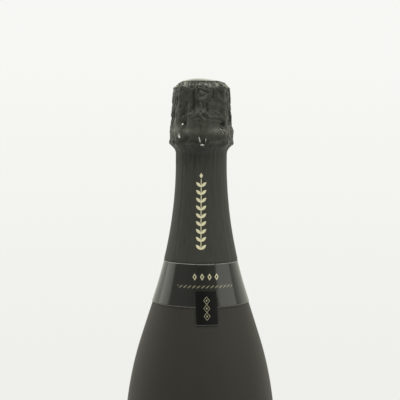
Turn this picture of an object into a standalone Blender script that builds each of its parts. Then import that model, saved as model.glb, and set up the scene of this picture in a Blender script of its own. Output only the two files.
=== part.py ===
"""Sparkling wine bottle of 75 cl, with its cork, wire cage, foil and labels, standing on its base.

Lengths are in metres and +Z is up. The front faces -Y, and an angle is counted in degrees from
the front towards +X. The origin is the middle of the base, on the surface that it stands on.
"""

import math

import bmesh
import bpy
import numpy as np
from mathutils import Vector

MM = 0.001

# Fits and fineness shared by all pieces
CLEARANCE = 0.3 * MM
GLASS_STEPS = 48
FOIL_STEPS = 72
SHARP_ANGLE = 35

# Glass
BOTTLE_HEIGHT = 300 * MM
BODY_RADIUS = 44.1 * MM
HEEL_RADIUS = 7 * MM
BODY_WALL = 5.2 * MM
FLOOR_THICKNESS = 8 * MM
INNER_HEEL_RADIUS = 9 * MM
PUNT_RADIUS = 32.5 * MM
PUNT_DEPTH = 30 * MM
SHOULDER_ARC = 204 * MM
SHOULDER_SLOPE = math.radians(17.7)
SWEEP_ARC = 250 * MM
NECK_RADIUS = 14.15 * MM
NECK_STRAIGHT = 12.3 * MM
BORE_RADIUS = 9.25 * MM
RING_RADIUS = 17.3 * MM
RING_HEIGHT = 6.5 * MM
RING_EDGE = 1.0 * MM
RING_DROP = 10.5 * MM
LIP_RADIUS = 14.3 * MM
LIP_HEIGHT = 5.4 * MM
LIP_EDGE = 1.4 * MM
WAIST_RADIUS = 13.4 * MM
WAIST_SLOPE = 1.2 * MM
MOUTH_EDGE = 0.8 * MM

# Cork
CORK_HEAD_RADIUS = 15.6 * MM
CORK_HEAD_HEIGHT = 13.2 * MM
CORK_HEAD_EDGE = 4 * MM
CORK_REACH = 24 * MM
CORK_DISC_THICKNESS = 5.5 * MM

# Metal cap on the cork
CAP_RADIUS = 13 * MM
CAP_THICKNESS = 0.3 * MM
CAP_DOME_RADIUS = 10.2 * MM
CAP_DOME_HEIGHT = 2.5 * MM

# Wire cage
CAGE_RING_RADIUS = 11.2 * MM
CAGE_RING_WIRE = 0.9 * MM
LEG_WIRE = 0.8 * MM
LEG_TURN = 12 * MM
LEG_COUNT = 4
LEG_SLACK = 0.05 * MM
LEG_RINGS = 26
HOOK_STEPS = 9
HOOK_TURN = 225
BELT_RADIUS = 17 * MM
BELT_WIRE = 1.0 * MM
BELT_DROP = 1.9 * MM
BELT_OPENING = 7
KEY_STEM_HEIGHT = 3.6 * MM
KEY_LOOP_HEIGHT = 8 * MM
KEY_LOOP_WIDTH = 7 * MM
KEY_LOOP_TAPER_SHARE = 0.35

# Foil over the cork and the neck
FOIL_THICKNESS = 0.3 * MM
HOOD_CHAMFER = 3.7 * MM
HOOD_TURN_IN = 2.6 * MM
TOP_DISC_RADIUS = 11.6 * MM
TOP_DISC_DOME = 1.5 * MM
TEAR_DROP = 1.9 * MM
FOIL_DROP = 87 * MM
FLARE_HEIGHT = 5.2 * MM
LEG_RIDGE_SPREAD = 16
KEY_RIDGE_SPREAD = 27
KEY_RIDGE_FADE = 5 * MM

# Tear tab, behind
TAB_WIDTH = 6 * MM
TAB_HEIGHT = 9 * MM
TAB_THICKNESS = 0.3 * MM
TAB_LIFT = 1 * MM

# Labels
PAPER = 0.2 * MM
COLLAR_HEIGHT = 23.7 * MM
TONGUE_HEIGHT = 9.7 * MM
TONGUE_WIDTH = 13.3 * MM
TONGUE_TURN = 7.2
TONGUE_CORNER = 0.1 * MM
FRONT_LABEL_BOTTOM = 26 * MM
FRONT_LABEL_DROP = 8.2 * MM
FRONT_LABEL_WIDTH = 96 * MM
BACK_LABEL_BOTTOM = 30 * MM
BACK_LABEL_DROP = 14.2 * MM
BACK_LABEL_WIDTH = 64 * MM

# Heights and radii that follow from the sizes above
RING_TOP = BOTTLE_HEIGHT - RING_DROP
RING_BOTTOM = RING_TOP - RING_HEIGHT
NECK_START = RING_BOTTOM - NECK_STRAIGHT
CONE_TOP = NECK_START - SWEEP_ARC * math.sin(SHOULDER_SLOPE)
CONE_TOP_RADIUS = NECK_RADIUS + SWEEP_ARC * (1 - math.cos(SHOULDER_SLOPE))
CONE_RADIUS = BODY_RADIUS - SHOULDER_ARC * (1 - math.cos(SHOULDER_SLOPE))
CONE_BOTTOM = CONE_TOP - (CONE_RADIUS - CONE_TOP_RADIUS) / math.tan(SHOULDER_SLOPE)
SHOULDER_START = CONE_BOTTOM - SHOULDER_ARC * math.sin(SHOULDER_SLOPE)
CORK_HEAD_BOTTOM = BOTTLE_HEIGHT + CLEARANCE
CORK_TOP = CORK_HEAD_BOTTOM + CORK_HEAD_HEIGHT
CORK_SHANK_RADIUS = BORE_RADIUS - CLEARANCE
CAP_TOP = CORK_TOP + CLEARANCE + CAP_THICKNESS
CAGE_RING_HEIGHT = CAP_TOP + CLEARANCE + CAGE_RING_WIRE / 2
BELT_HEIGHT = RING_BOTTOM - BELT_DROP
TEAR_LINE = BELT_HEIGHT - TEAR_DROP
HOOD_TOP = CAGE_RING_HEIGHT + CAGE_RING_WIRE / 2 + CLEARANCE
HOOD_RIM_RADIUS = CORK_HEAD_RADIUS + CLEARANCE
HOOD_RIM_HEIGHT = HOOD_TOP - HOOD_CHAMFER
KEY_REACH = RING_RADIUS + CLEARANCE + BELT_WIRE
TAB_ROOT = TEAR_LINE + TAB_LIFT
TAB_REACH = BELT_RADIUS + BELT_WIRE / 2 + CLEARANCE + FOIL_THICKNESS + CLEARANCE
FOIL_EDGE = BOTTLE_HEIGHT - FOIL_DROP
COLLAR_TOP = FOIL_EDGE - CLEARANCE
COLLAR_BOTTOM = COLLAR_TOP - COLLAR_HEIGHT
KEY_TOP = BELT_HEIGHT + CLEARANCE + KEY_STEM_HEIGHT + CLEARANCE + KEY_LOOP_HEIGHT + BELT_WIRE


def clear_scene():
    for old in list(bpy.data.objects):
        bpy.data.objects.remove(old, do_unlink=True)


def finish_of(name, color, roughness, metallic=0.0):
    material = bpy.data.materials.new(name)
    material.use_nodes = True
    shader = material.node_tree.nodes["Principled BSDF"]
    shader.inputs["Base Color"].default_value = (*color, 1)
    shader.inputs["Roughness"].default_value = roughness
    shader.inputs["Metallic"].default_value = metallic
    return material


def polar(radius, angle, height):
    """The point at this distance from the axis, at an angle in degrees from the front, and this high."""
    turn = math.radians(angle)
    return (radius * math.sin(turn), -radius * math.cos(turn), height)


def round_angles(steps):
    return np.arange(steps) * 360 / steps


def arc(radius, height, size, start, end, steps):
    """Points on a round corner of an outline, about its centre, at angles in degrees from outward."""
    turns = np.radians(np.linspace(start, end, steps + 1))
    return [(radius + size * math.cos(turn), height + size * math.sin(turn)) for turn in turns]


def blend(share):
    """A smooth step from 0 to 1 as the share goes from 0 to 1."""
    held = np.clip(share, 0, 1)
    return held * held * (3 - 2 * held)


def solid(name, points, faces, material):
    """One object from points and faces, with its faces turned outwards and its round sides smooth."""
    mesh = bpy.data.meshes.new(name)
    mesh.from_pydata([tuple(point) for point in points], [], faces)
    work = bmesh.new()
    work.from_mesh(mesh)
    bmesh.ops.recalc_face_normals(work, faces=work.faces)
    work.to_mesh(mesh)
    work.free()
    mesh.shade_smooth()
    mesh.set_sharp_from_angle(angle=math.radians(SHARP_ANGLE))
    mesh.materials.append(material)
    made = bpy.data.objects.new(name, mesh)
    bpy.context.scene.collection.objects.link(made)
    return made


def bridged(name, rings, material):
    """A solid through successive rings of points, capped at both ends. One point alone is a pole."""
    starts = np.cumsum([0] + [len(ring) for ring in rings])
    faces = []
    for start, ring, after in zip(starts, rings, rings[1:]):
        first, second = start, start + len(ring)
        steps = max(len(ring), len(after))
        for step in range(steps):
            near, far = step, (step + 1) % steps
            if len(ring) == 1:
                faces.append((first, second + far, second + near))
            elif len(after) == 1:
                faces.append((first + near, first + far, second))
            else:
                faces.append((first + near, first + far, second + far, second + near))
    for start, ring in ((starts[0], rings[0]), (starts[-2], rings[-1])):
        if len(ring) > 1:
            faces.append(tuple(range(start, start + len(ring))))
    return solid(name, [point for ring in rings for point in ring], faces, material)


def turned(name, outline, material, steps=GLASS_STEPS):
    """A round solid from an outline of (radius, height) points that starts and ends on the axis."""
    rings = [
        [polar(radius, angle, height) for angle in round_angles(steps)] if radius else [(0, 0, height)]
        for radius, height in outline
    ]
    return bridged(name, rings, material)


def shell(name, outside, inside, material, wraps=False):
    """A wall between two grids of points, rows going up and columns going round."""
    outside, inside = np.array(outside), np.array(inside)
    rows, columns = outside.shape[:2]
    behind = rows * columns

    def spot(row, column, side=0):
        return side + row * columns + column % columns

    faces = []
    for row in range(rows - 1):
        for column in range(columns if wraps else columns - 1):
            for side in (0, behind):
                faces.append((
                    spot(row, column, side), spot(row, column + 1, side),
                    spot(row + 1, column + 1, side), spot(row + 1, column, side),
                ))
    rim = []
    for column in range(columns if wraps else columns - 1):
        rim.append((spot(0, column), spot(0, column + 1)))
        rim.append((spot(rows - 1, column), spot(rows - 1, column + 1)))
    for row in range(0 if wraps else rows - 1):
        rim.append((spot(row, 0), spot(row + 1, 0)))
        rim.append((spot(row, columns - 1), spot(row + 1, columns - 1)))
    for near, far in rim:
        faces.append((near, far, far + behind, near + behind))
    points = np.concatenate([outside.reshape(-1, 3), inside.reshape(-1, 3)])
    return solid(name, points, faces, material)


def glass_radius(height):
    """The glass's outer radius between heel and ring: body, round shoulder, cone, sweep and neck."""
    if height <= SHOULDER_START:
        return BODY_RADIUS
    if height < CONE_BOTTOM:
        return BODY_RADIUS - SHOULDER_ARC + math.sqrt(SHOULDER_ARC**2 - (height - SHOULDER_START) ** 2)
    if height < CONE_TOP:
        return CONE_TOP_RADIUS + (CONE_TOP - height) * math.tan(SHOULDER_SLOPE)
    if height < NECK_START:
        return NECK_RADIUS + SWEEP_ARC - math.sqrt(SWEEP_ARC**2 - (NECK_START - height) ** 2)
    return NECK_RADIUS


def facet_radius(radius, angle):
    """The radius at an angle on the flat facets that the turned glass is made of."""
    half = math.pi / GLASS_STEPS
    into = math.radians(angle) % (2 * half)
    return radius * math.cos(half) / math.cos(into - half)


def spread(start, end, steps):
    return list(np.linspace(start, end, steps + 1))


def side_heights(steps):
    """Heights of outline points between the body and the neck, this many steps on the shoulder."""
    return spread(SHOULDER_START, CONE_BOTTOM, steps) + spread(CONE_TOP, NECK_START, steps + 1)


def inner_radius(height):
    """The hollow's radius: the wall goes from the body's thickness to the neck's."""
    share = np.interp(height, (SHOULDER_START, NECK_START), (0, 1))
    neck_wall = NECK_RADIUS - BORE_RADIUS
    return glass_radius(height) - BODY_WALL - (neck_wall - BODY_WALL) * share


def dome_outline(radius, base, depth, steps):
    """A shallow dome from its rim to the axis, along a parabola."""
    shares = np.linspace(1, 0, steps + 1)
    return [(radius * share, base + depth * (1 - share**2)) for share in shares]


def glass_outline():
    """From the middle of the punt, round the outside to the mouth, and down inside to the floor."""
    ring_side = RING_RADIUS - RING_EDGE
    lip_bottom = BOTTLE_HEIGHT - LIP_HEIGHT
    inner_body = BODY_RADIUS - BODY_WALL
    trough = inner_body - INNER_HEEL_RADIUS
    outline = dome_outline(PUNT_RADIUS, 0, PUNT_DEPTH, 5)[::-1]
    outline += arc(BODY_RADIUS - HEEL_RADIUS, HEEL_RADIUS, HEEL_RADIUS, -90, 0, 4)
    outline += [(glass_radius(height), height) for height in side_heights(5)]
    outline += [(NECK_RADIUS, RING_BOTTOM)]
    outline += arc(ring_side, RING_BOTTOM + RING_EDGE, RING_EDGE, -90, 0, 2)
    outline += arc(ring_side, RING_TOP - RING_EDGE, RING_EDGE, 0, 90, 2)
    outline += [(WAIST_RADIUS, RING_TOP + WAIST_SLOPE), (WAIST_RADIUS, lip_bottom - WAIST_SLOPE)]
    outline += [(LIP_RADIUS, lip_bottom)]
    outline += arc(LIP_RADIUS - LIP_EDGE, BOTTLE_HEIGHT - LIP_EDGE, LIP_EDGE, 0, 90, 2)
    outline += arc(BORE_RADIUS + MOUTH_EDGE, BOTTLE_HEIGHT - MOUTH_EDGE, MOUTH_EDGE, 90, 180, 2)
    outline += [(inner_radius(height), height) for height in side_heights(3)[::-1]]
    outline += arc(trough, FLOOR_THICKNESS + INNER_HEEL_RADIUS, INNER_HEEL_RADIUS, 0, -90, 2)
    outline += dome_outline(trough, FLOOR_THICKNESS, PUNT_DEPTH - FLOOR_THICKNESS / 4, 4)[1:]
    return outline


def make_glass():
    glass = finish_of("frosted_black_glass", (0.035, 0.033, 0.03), 0.45)
    return turned("bottle_glass", glass_outline(), glass)


def make_cork():
    """The pressed cork with its mushroom head, and two discs of natural cork below it."""
    pressed = finish_of("pressed_cork", (0.62, 0.42, 0.24), 0.9)
    natural = finish_of("natural_cork", (0.68, 0.48, 0.29), 0.9)
    bottom = BOTTLE_HEIGHT - CORK_REACH
    step = CORK_DISC_THICKNESS + CLEARANCE
    body_bottom = bottom + 2 * step
    outline = [(0, body_bottom), (CORK_SHANK_RADIUS, body_bottom)]
    outline += [(CORK_SHANK_RADIUS, CORK_HEAD_BOTTOM), (CORK_HEAD_RADIUS, CORK_HEAD_BOTTOM)]
    outline += arc(
        CORK_HEAD_RADIUS - CORK_HEAD_EDGE, CORK_TOP - CORK_HEAD_EDGE, CORK_HEAD_EDGE, 0, 90, 3
    )
    pieces = [turned("cork_body", outline + [(0, CORK_TOP)], pressed)]
    for name, base in (("cork_disc_lower", bottom), ("cork_disc_upper", bottom + step)):
        top = base + CORK_DISC_THICKNESS
        disc = [(0, base), (CORK_SHANK_RADIUS, base), (CORK_SHANK_RADIUS, top), (0, top)]
        pieces.append(turned(name, disc, natural))
    return pieces


def make_cap():
    """The stamped metal cap: a dome with a flat rim round it, on which the cage's ring lies."""
    metal = finish_of("cap_metal", (0.05, 0.05, 0.05), 0.35, 0.8)
    under = CORK_TOP + CLEARANCE
    lower = dome_outline(CAP_DOME_RADIUS, under, CAP_DOME_HEIGHT, 3)
    upper = [(radius, height + CAP_THICKNESS) for radius, height in lower]
    outline = lower[::-1] + [(CAP_RADIUS, under), (CAP_RADIUS, under + CAP_THICKNESS)] + upper
    return turned("metal_cap", outline, metal)


def wire(name, points, diameter, material, closed=False):
    """A round wire along these points, as a curve with filled ends."""
    curve = bpy.data.curves.new(name, "CURVE")
    curve.dimensions = "3D"
    curve.bevel_depth = diameter / 2
    curve.bevel_resolution = 1
    curve.use_fill_caps = True
    spline = curve.splines.new("POLY")
    spline.points.add(len(points) - 1)
    for spot, point in zip(spline.points, points):
        spot.co = (*point, 1)
    spline.use_cyclic_u = closed
    curve.materials.append(material)
    made = bpy.data.objects.new(name, curve)
    bpy.context.scene.collection.objects.link(made)
    return made


def make_cage_ring(steel):
    angles = np.arange(GLASS_STEPS // 2) * 720 / GLASS_STEPS
    circle = [polar(CAGE_RING_RADIUS, angle, CAGE_RING_HEIGHT) for angle in angles]
    return wire("cage_ring", circle, CAGE_RING_WIRE, steel, closed=True)


def make_belt(steel):
    """The belt wire: a ring that is open at the front, where both ends turn out to the key."""
    angles = np.linspace(BELT_OPENING, 360 - BELT_OPENING, FOIL_STEPS // 2)
    circle = [polar(BELT_RADIUS, angle, BELT_HEIGHT) for angle in angles]
    aside = BELT_WIRE / 2 + CLEARANCE / 2
    ends = [(side * aside, -KEY_REACH + BELT_WIRE / 2, BELT_HEIGHT) for side in (1, -1)]
    return wire("cage_belt", [ends[0]] + circle + [ends[1]], BELT_WIRE, steel)


def leg_route():
    """A leg's middle line as (radius, height): over the cap's rim, down the cork and over the ring."""
    aside = LEG_WIRE + CLEARANCE
    cork_side = CORK_HEAD_RADIUS + aside + LEG_SLACK
    return [
        (CAGE_RING_RADIUS + CAGE_RING_WIRE / 2 + LEG_WIRE / 2 + CLEARANCE, CAGE_RING_HEIGHT),
        (CAP_RADIUS + LEG_WIRE, CAP_TOP + LEG_WIRE / 2),
        (CORK_HEAD_RADIUS - CLEARANCE, CORK_TOP - CLEARANCE),
        (cork_side - CLEARANCE, CORK_TOP - CORK_HEAD_EDGE / 2 - CLEARANCE),
        (cork_side, CORK_TOP - CORK_HEAD_EDGE - CORK_HEAD_EDGE / 2),
        (cork_side, CORK_HEAD_BOTTOM + CLEARANCE),
        (RING_RADIUS + aside + LEG_SLACK, RING_TOP + LEG_WIRE),
        (RING_RADIUS + aside + LEG_SLACK, RING_BOTTOM + 2 * LEG_WIRE),
        (BELT_RADIUS + hook_radius(), BELT_HEIGHT + 2 * LEG_WIRE),
    ]


def hook_radius():
    return BELT_WIRE / 2 + CLEARANCE + LEG_WIRE / 2


def smooth_route(points, count):
    """A smooth curve through the points, as this many points evenly along it."""
    points = np.array(points)
    before = np.concatenate([points[:1], points[:-1]])
    after = np.concatenate([points[1:], points[-1:]])
    slopes = (after - before) / 2
    shares = np.linspace(0, 1, 12, endpoint=False)[:, None]
    pieces = []
    for start, end, leave, arrive in zip(points, points[1:], slopes, slopes[1:]):
        pieces.append(
            (1 + 2 * shares) * (1 - shares) ** 2 * start + shares * (1 - shares) ** 2 * leave
            + shares**2 * (3 - 2 * shares) * end + shares**2 * (shares - 1) * arrive
        )
    fine = np.concatenate(pieces + [points[-1:]])
    along = np.concatenate([[0], np.cumsum(np.linalg.norm(np.diff(fine, axis=0), axis=1))])
    places = np.linspace(0, along[-1], count)
    return np.stack([np.interp(places, along, column) for column in fine.T], axis=1), places


def twisted(name, route, halves, turns, across, material, sides=6):
    """A pair of twisted wires along a route, as one bar of two lobes that turns as it goes.

    halves gives the bar's half thickness and half width at each point, alike where it is a lone
    wire, and across is the direction square to the plane that the route lies in.
    """
    across = Vector(across).normalized()
    rings = []
    for number, point in enumerate(route):
        before, after = route[max(number - 1, 0)], route[min(number + 1, len(route) - 1)]
        ahead = (Vector(after) - Vector(before)).normalized()
        aside = ahead.cross(across)
        slim, wide = halves[number]
        ring = []
        for step in range(sides):
            around = 2 * math.pi * step / sides
            lobe = math.cos(around)
            reach = slim + (wide - slim) * abs(lobe)
            turn = around + turns[number]
            ring.append(Vector(point) + reach * (math.cos(turn) * across + math.sin(turn) * aside))
        rings.append(ring)
    return bridged(name, rings, material)


def make_leg(number, steel):
    """One leg: flat where it leaves the cap's ring, twisted down the side, and hooked round the belt."""
    angle = (number + 0.5) * 360 / LEG_COUNT
    down, places = smooth_route(leg_route(), LEG_RINGS)
    twist = 2 * math.pi * np.clip(places - CORK_HEAD_EDGE, 0, None) / LEG_TURN
    hook = arc(BELT_RADIUS, BELT_HEIGHT, hook_radius(), 0, -HOOK_TURN, HOOK_STEPS)
    outline = [tuple(point) for point in down] + hook
    turns = list(twist) + [twist[-1]] * len(hook)
    lone = (LEG_WIRE / 2, LEG_WIRE / 2)
    halves = [(LEG_WIRE / 2, LEG_WIRE)] * len(down) + [lone] * len(hook)
    route = [polar(radius, angle, height) for radius, height in outline]
    across = polar(1, angle + 90, 0)
    return twisted(f"cage_leg_{number + 1}", route, halves, turns, across, steel)


def make_key(steel):
    """The key at the front: a twisted stem, and the loop on it that is turned to open the cage."""
    foot = BELT_HEIGHT + CLEARANCE
    heights = spread(foot, foot + KEY_STEM_HEIGHT, 6)
    stem_route = [(0, -KEY_REACH, height) for height in heights]
    turns = [2 * math.pi * (height - foot) / KEY_STEM_HEIGHT for height in heights]
    halves = [(BELT_WIRE / 2, BELT_WIRE)] * len(heights)
    stem = twisted("key_stem", stem_route, halves, turns, (1, 0, 0), steel)
    base = foot + KEY_STEM_HEIGHT + CLEARANCE + BELT_WIRE / 2
    rounds = np.linspace(0, 2 * math.pi, 20, endpoint=False)
    loop_route = [
        (
            KEY_LOOP_WIDTH / 2 * math.sin(turn) * (1 - KEY_LOOP_TAPER_SHARE * math.cos(turn)),
            -KEY_REACH,
            base + KEY_LOOP_HEIGHT / 2 * (1 - math.cos(turn)),
        )
        for turn in rounds
    ]
    return stem, wire("key_loop", loop_route, BELT_WIRE, steel, closed=True)


def ridge(angle, middle, width):
    """How far a ridge stands at an angle: 1 along its middle line, 0 past its spread."""
    away = abs((angle - middle + 180) % 360 - 180)
    return float(blend(1 - away / width))


def foil_radius(angle, height):
    """The foil's inner radius round the cork and ring, drawn over the legs and the key.

    It never narrows downwards, so that the hood comes off straight up.
    """
    plain = np.interp(
        height,
        (BELT_HEIGHT, RING_BOTTOM, RING_TOP, HOOD_RIM_HEIGHT),
        (BELT_RADIUS + BELT_WIRE / 2 + CLEARANCE, RING_RADIUS + CLEARANCE,
         RING_RADIUS + CLEARANCE, HOOD_RIM_RADIUS),
    )
    route = sorted(leg_route(), key=lambda point: point[1])
    leg_heights = [point[1] for point in route]
    leg_reaches = [point[0] + LEG_WIRE + CLEARANCE for point in route]
    leg_reaches[0] = leg_reaches[1]
    leg_share = max(
        ridge(angle, (number + 0.5) * 360 / LEG_COUNT, LEG_RIDGE_SPREAD) for number in range(LEG_COUNT)
    )
    leg = leg_share * max(0, np.interp(height, leg_heights, leg_reaches) - plain)
    key_share = min(1, 2 * ridge(angle, 0, KEY_RIDGE_SPREAD))
    key_share *= float(blend((KEY_TOP + KEY_RIDGE_FADE - height) / KEY_RIDGE_FADE))
    key = key_share * (KEY_REACH + BELT_WIRE + CLEARANCE - plain)
    return plain + max(leg, key)


def make_hood(foil):
    """The skirt of the hood, turned in at the top, and the domed disc that closes it."""
    angles = round_angles(FOIL_STEPS)
    edge = TEAR_LINE + CLEARANCE / 2
    heights = [edge, BELT_HEIGHT, RING_BOTTOM] + spread(RING_TOP, HOOD_RIM_HEIGHT, 5)
    inside = [[polar(foil_radius(angle, z), angle, z) for angle in angles] for z in heights]
    outside = [
        [polar(foil_radius(angle, z) + FOIL_THICKNESS, angle, z) for angle in angles]
        for z in heights
    ]
    turn_radius = HOOD_RIM_RADIUS - HOOD_CHAMFER
    edge_radius = turn_radius - HOOD_TURN_IN
    corner_in, corner_out, last_in, last_out = [], [], [], []
    for angle in angles:
        tent = 3 / 2 * (foil_radius(angle, HOOD_RIM_HEIGHT) - HOOD_RIM_RADIUS)
        corner_in.append(polar(turn_radius + tent, angle, HOOD_TOP))
        corner_out.append(polar(turn_radius + tent + FOIL_THICKNESS / 2, angle, HOOD_TOP + FOIL_THICKNESS))
        last_in.append(polar(edge_radius, angle, HOOD_TOP))
        last_out.append(polar(edge_radius, angle, HOOD_TOP + FOIL_THICKNESS))
    skirt = shell(
        "hood_foil", outside + [corner_out, last_out], inside + [corner_in, last_in], foil, wraps=True
    )
    under = HOOD_TOP + FOIL_THICKNESS + CLEARANCE
    lower = dome_outline(TOP_DISC_RADIUS, under, TOP_DISC_DOME, 3)
    upper = [(radius, height + FOIL_THICKNESS) for radius, height in lower]
    return skirt, turned("hood_top_disc", lower[::-1] + upper, foil)


def make_neck_foil(foil):
    """The foil that stays on the neck, flared at the top to meet the hood at the tear line."""
    angles = round_angles(GLASS_STEPS)
    flare_start = TEAR_LINE - CLEARANCE / 2 - FLARE_HEIGHT
    flare_shares = ((0, 0, 0), (0.35, 0.07, 0.3), (0.7, 0.4, 0.6), (1, 1, 0))
    rows = []
    for height in spread(FOIL_EDGE, flare_start, 6)[:-1]:
        rows.append((height, [glass_radius(height) + CLEARANCE] * GLASS_STEPS, 0))
    close = NECK_RADIUS + CLEARANCE
    for height_share, reach_share, drop_share in flare_shares:
        radii = [close + reach_share * (foil_radius(angle, TEAR_LINE) - close) for angle in angles]
        rows.append((flare_start + height_share * FLARE_HEIGHT, radii, drop_share * FOIL_THICKNESS))
    inside, outside = [], []
    for height, radii, drop in rows:
        pairs = list(zip(radii, angles))
        inside.append([polar(radius, angle, height) for radius, angle in pairs])
        outside.append([polar(radius + FOIL_THICKNESS, angle, height - drop) for radius, angle in pairs])
    return shell("neck_foil", outside, inside, foil, wraps=True)


def make_tab(foil):
    """The tear tab: a tongue with a round end that lies up against the back of the hood."""
    half = TAB_WIDTH / 2
    outline = [(-half, TAB_ROOT), (half, TAB_ROOT)]
    outline += arc(0, TAB_ROOT + TAB_HEIGHT - half, half, 0, 180, 8)
    rings = [[(x, y, z) for x, z in outline] for y in (TAB_REACH, TAB_REACH + TAB_THICKNESS)]
    return bridged("tear_tab", rings, foil)


def label_angles(start, end):
    """The label's side angles, and between them the corners of the glass's facets."""
    step = 360 / GLASS_STEPS
    first, last = math.floor(start / step) + 1, math.ceil(end / step)
    return [start] + [number * step for number in range(first, last)] + [end]


def paper(name, angles, bottoms, top, rows, material, wraps=False):
    """A sheet of paper bent round the glass, whose lower edge may step from angle to angle."""
    inside, outside = [], []
    for share in np.linspace(0, 1, rows + 1):
        near, far = [], []
        for angle, bottom in zip(angles, bottoms):
            height = bottom + (top - bottom) * share
            radius = facet_radius(glass_radius(height), angle) + CLEARANCE
            near.append(polar(radius, angle, height))
            far.append(polar(radius + PAPER, angle, height))
        inside.append(near)
        outside.append(far)
    return shell(name, outside, inside, material, wraps)


def make_collar():
    """The collar label: a band round the shoulder under the foil, with a tongue at the front."""
    gloss = finish_of("gloss_black_paper", (0.02, 0.02, 0.02), 0.15)
    half = math.degrees(TONGUE_WIDTH / 2 / glass_radius(COLLAR_BOTTOM))
    corner = math.degrees(TONGUE_CORNER / glass_radius(COLLAR_BOTTOM))
    left, right = TONGUE_TURN - half, TONGUE_TURN + half
    angles = label_angles(left, right) + label_angles(right + corner, left - corner + 360)
    bottoms = [COLLAR_BOTTOM - TONGUE_HEIGHT * (angle <= right) for angle in angles]
    return paper("collar_label", angles, bottoms, COLLAR_TOP, 3, gloss, wraps=True)


def make_label(name, middle, bottom, top, width, material):
    half = math.degrees(width / 2 / BODY_RADIUS)
    angles = label_angles(middle - half, middle + half)
    return paper(name, angles, [bottom] * len(angles), top, 1, material)


def body(name, height, reach=0):
    """An empty on a moving body's axis, to carry its pieces; reach is how far it is in front."""
    empty = bpy.data.objects.new(name, None)
    empty.location = (0, -reach, height)
    bpy.context.scene.collection.objects.link(empty)
    return empty


def carry(parent, *pieces):
    """Hangs pieces on a body without moving them."""
    bpy.context.view_layer.update()
    for piece in pieces:
        piece.parent = parent
        piece.matrix_parent_inverse = parent.matrix_world.inverted()


def main():
    clear_scene()
    foil = finish_of("black_foil", (0.045, 0.045, 0.042), 0.42, 0.3)
    steel = finish_of("cage_steel", (0.45, 0.44, 0.42), 0.35, 0.9)
    label_paper = finish_of("label_paper", (0.03, 0.03, 0.03), 0.6)

    hood, top_disc = make_hood(foil)
    stem, loop = make_key(steel)
    legs = [make_leg(number, steel) for number in range(LEG_COUNT)]
    front_top, back_top = SHOULDER_START - FRONT_LABEL_DROP, SHOULDER_START - BACK_LABEL_DROP
    front = make_label(
        "front_label", 0, FRONT_LABEL_BOTTOM, front_top, FRONT_LABEL_WIDTH, label_paper
    )
    back = make_label("back_label", 180, BACK_LABEL_BOTTOM, back_top, BACK_LABEL_WIDTH, label_paper)

    bottle = body("bottle", 0)
    stopper = body("stopper", BOTTLE_HEIGHT)
    muselet = body("muselet", CORK_TOP)
    cover = body("hood", TEAR_LINE)
    key = body("key", BELT_HEIGHT, reach=KEY_REACH)
    turner = body("turner", BELT_HEIGHT + CLEARANCE + KEY_STEM_HEIGHT, reach=KEY_REACH)
    tab = body("tab", TAB_ROOT, reach=-TAB_REACH)
    carry(bottle, make_glass(), make_neck_foil(foil), make_collar(), front, back, stopper)
    carry(stopper, *make_cork(), muselet)
    carry(muselet, make_cap(), make_cage_ring(steel), *legs, make_belt(steel), key, cover)
    carry(key, stem, turner)
    carry(turner, loop)
    carry(cover, hood, top_disc, tab)
    carry(tab, make_tab(foil))


main()
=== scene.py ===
"""Looks of a sparkling wine bottle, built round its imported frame, in a pale studio.

Sizes are in millimetres until a mesh is made. The front faces -Y, and an angle is counted in
degrees from the front towards +X. Each section makes one piece, or one group of like pieces.
"""

import bpy
import numpy as np
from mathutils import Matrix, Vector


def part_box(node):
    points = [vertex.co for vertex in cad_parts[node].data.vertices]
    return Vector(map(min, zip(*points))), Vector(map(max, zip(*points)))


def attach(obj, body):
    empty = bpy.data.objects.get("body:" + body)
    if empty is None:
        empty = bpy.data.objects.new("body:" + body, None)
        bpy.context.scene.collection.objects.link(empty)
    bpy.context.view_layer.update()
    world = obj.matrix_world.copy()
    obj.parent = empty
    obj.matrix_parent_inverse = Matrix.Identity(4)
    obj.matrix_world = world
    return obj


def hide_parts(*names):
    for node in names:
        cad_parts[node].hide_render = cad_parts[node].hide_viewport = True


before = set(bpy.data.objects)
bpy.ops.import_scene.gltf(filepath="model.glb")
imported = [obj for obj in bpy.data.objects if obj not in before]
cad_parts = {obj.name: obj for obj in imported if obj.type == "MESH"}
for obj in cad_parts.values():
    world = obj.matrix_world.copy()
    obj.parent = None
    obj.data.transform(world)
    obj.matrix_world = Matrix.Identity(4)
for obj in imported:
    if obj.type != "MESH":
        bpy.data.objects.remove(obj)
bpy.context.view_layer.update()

# Glass bottle
# Blown black glass with a deep punt, and at the mouth a ring for the wire cage and a lip. It is
# blown in a mould of two halves, whose seams stay as faint lines, and then frosted outside.
MM = 0.001


def corners(node):
    """A CAD node's lowest and highest corners, in millimetres."""
    return np.array(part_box(node)) / MM


BODY_RADIUS, _, BOTTLE_HEIGHT = corners("bottle_glass")[1]
HEEL_RADIUS = 7.0
BODY_WALL = 5.2
FLOOR_THICKNESS = 8.0
INNER_HEEL_RADIUS = 9.0
PUNT_RADIUS = 32.5
PUNT_DEPTH = 30.0
PUNT_TIP_RADIUS = 3.0
PUNT_TIP_DROP = 1.2
SHOULDER_ARC = 204.0
SHOULDER_SLOPE = np.radians(17.7)
SWEEP_ARC = 250.0
NECK_RADIUS = 14.15
NECK_STRAIGHT = 12.3
BORE_RADIUS = 9.25
RING_RADIUS = 17.3
RING_HEIGHT = 6.5
RING_EDGE = 1.0
RING_TOP = BOTTLE_HEIGHT - 10.5
RING_BOTTOM = RING_TOP - RING_HEIGHT
LIP_RADIUS = 14.3
LIP_BOTTOM = BOTTLE_HEIGHT - 5.4
LIP_EDGE = 1.4
WAIST_RADIUS = 13.4
WAIST_SLOPE = 1.2
MOUTH_EDGE = 0.8
NECK_START = RING_BOTTOM - NECK_STRAIGHT
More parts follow.
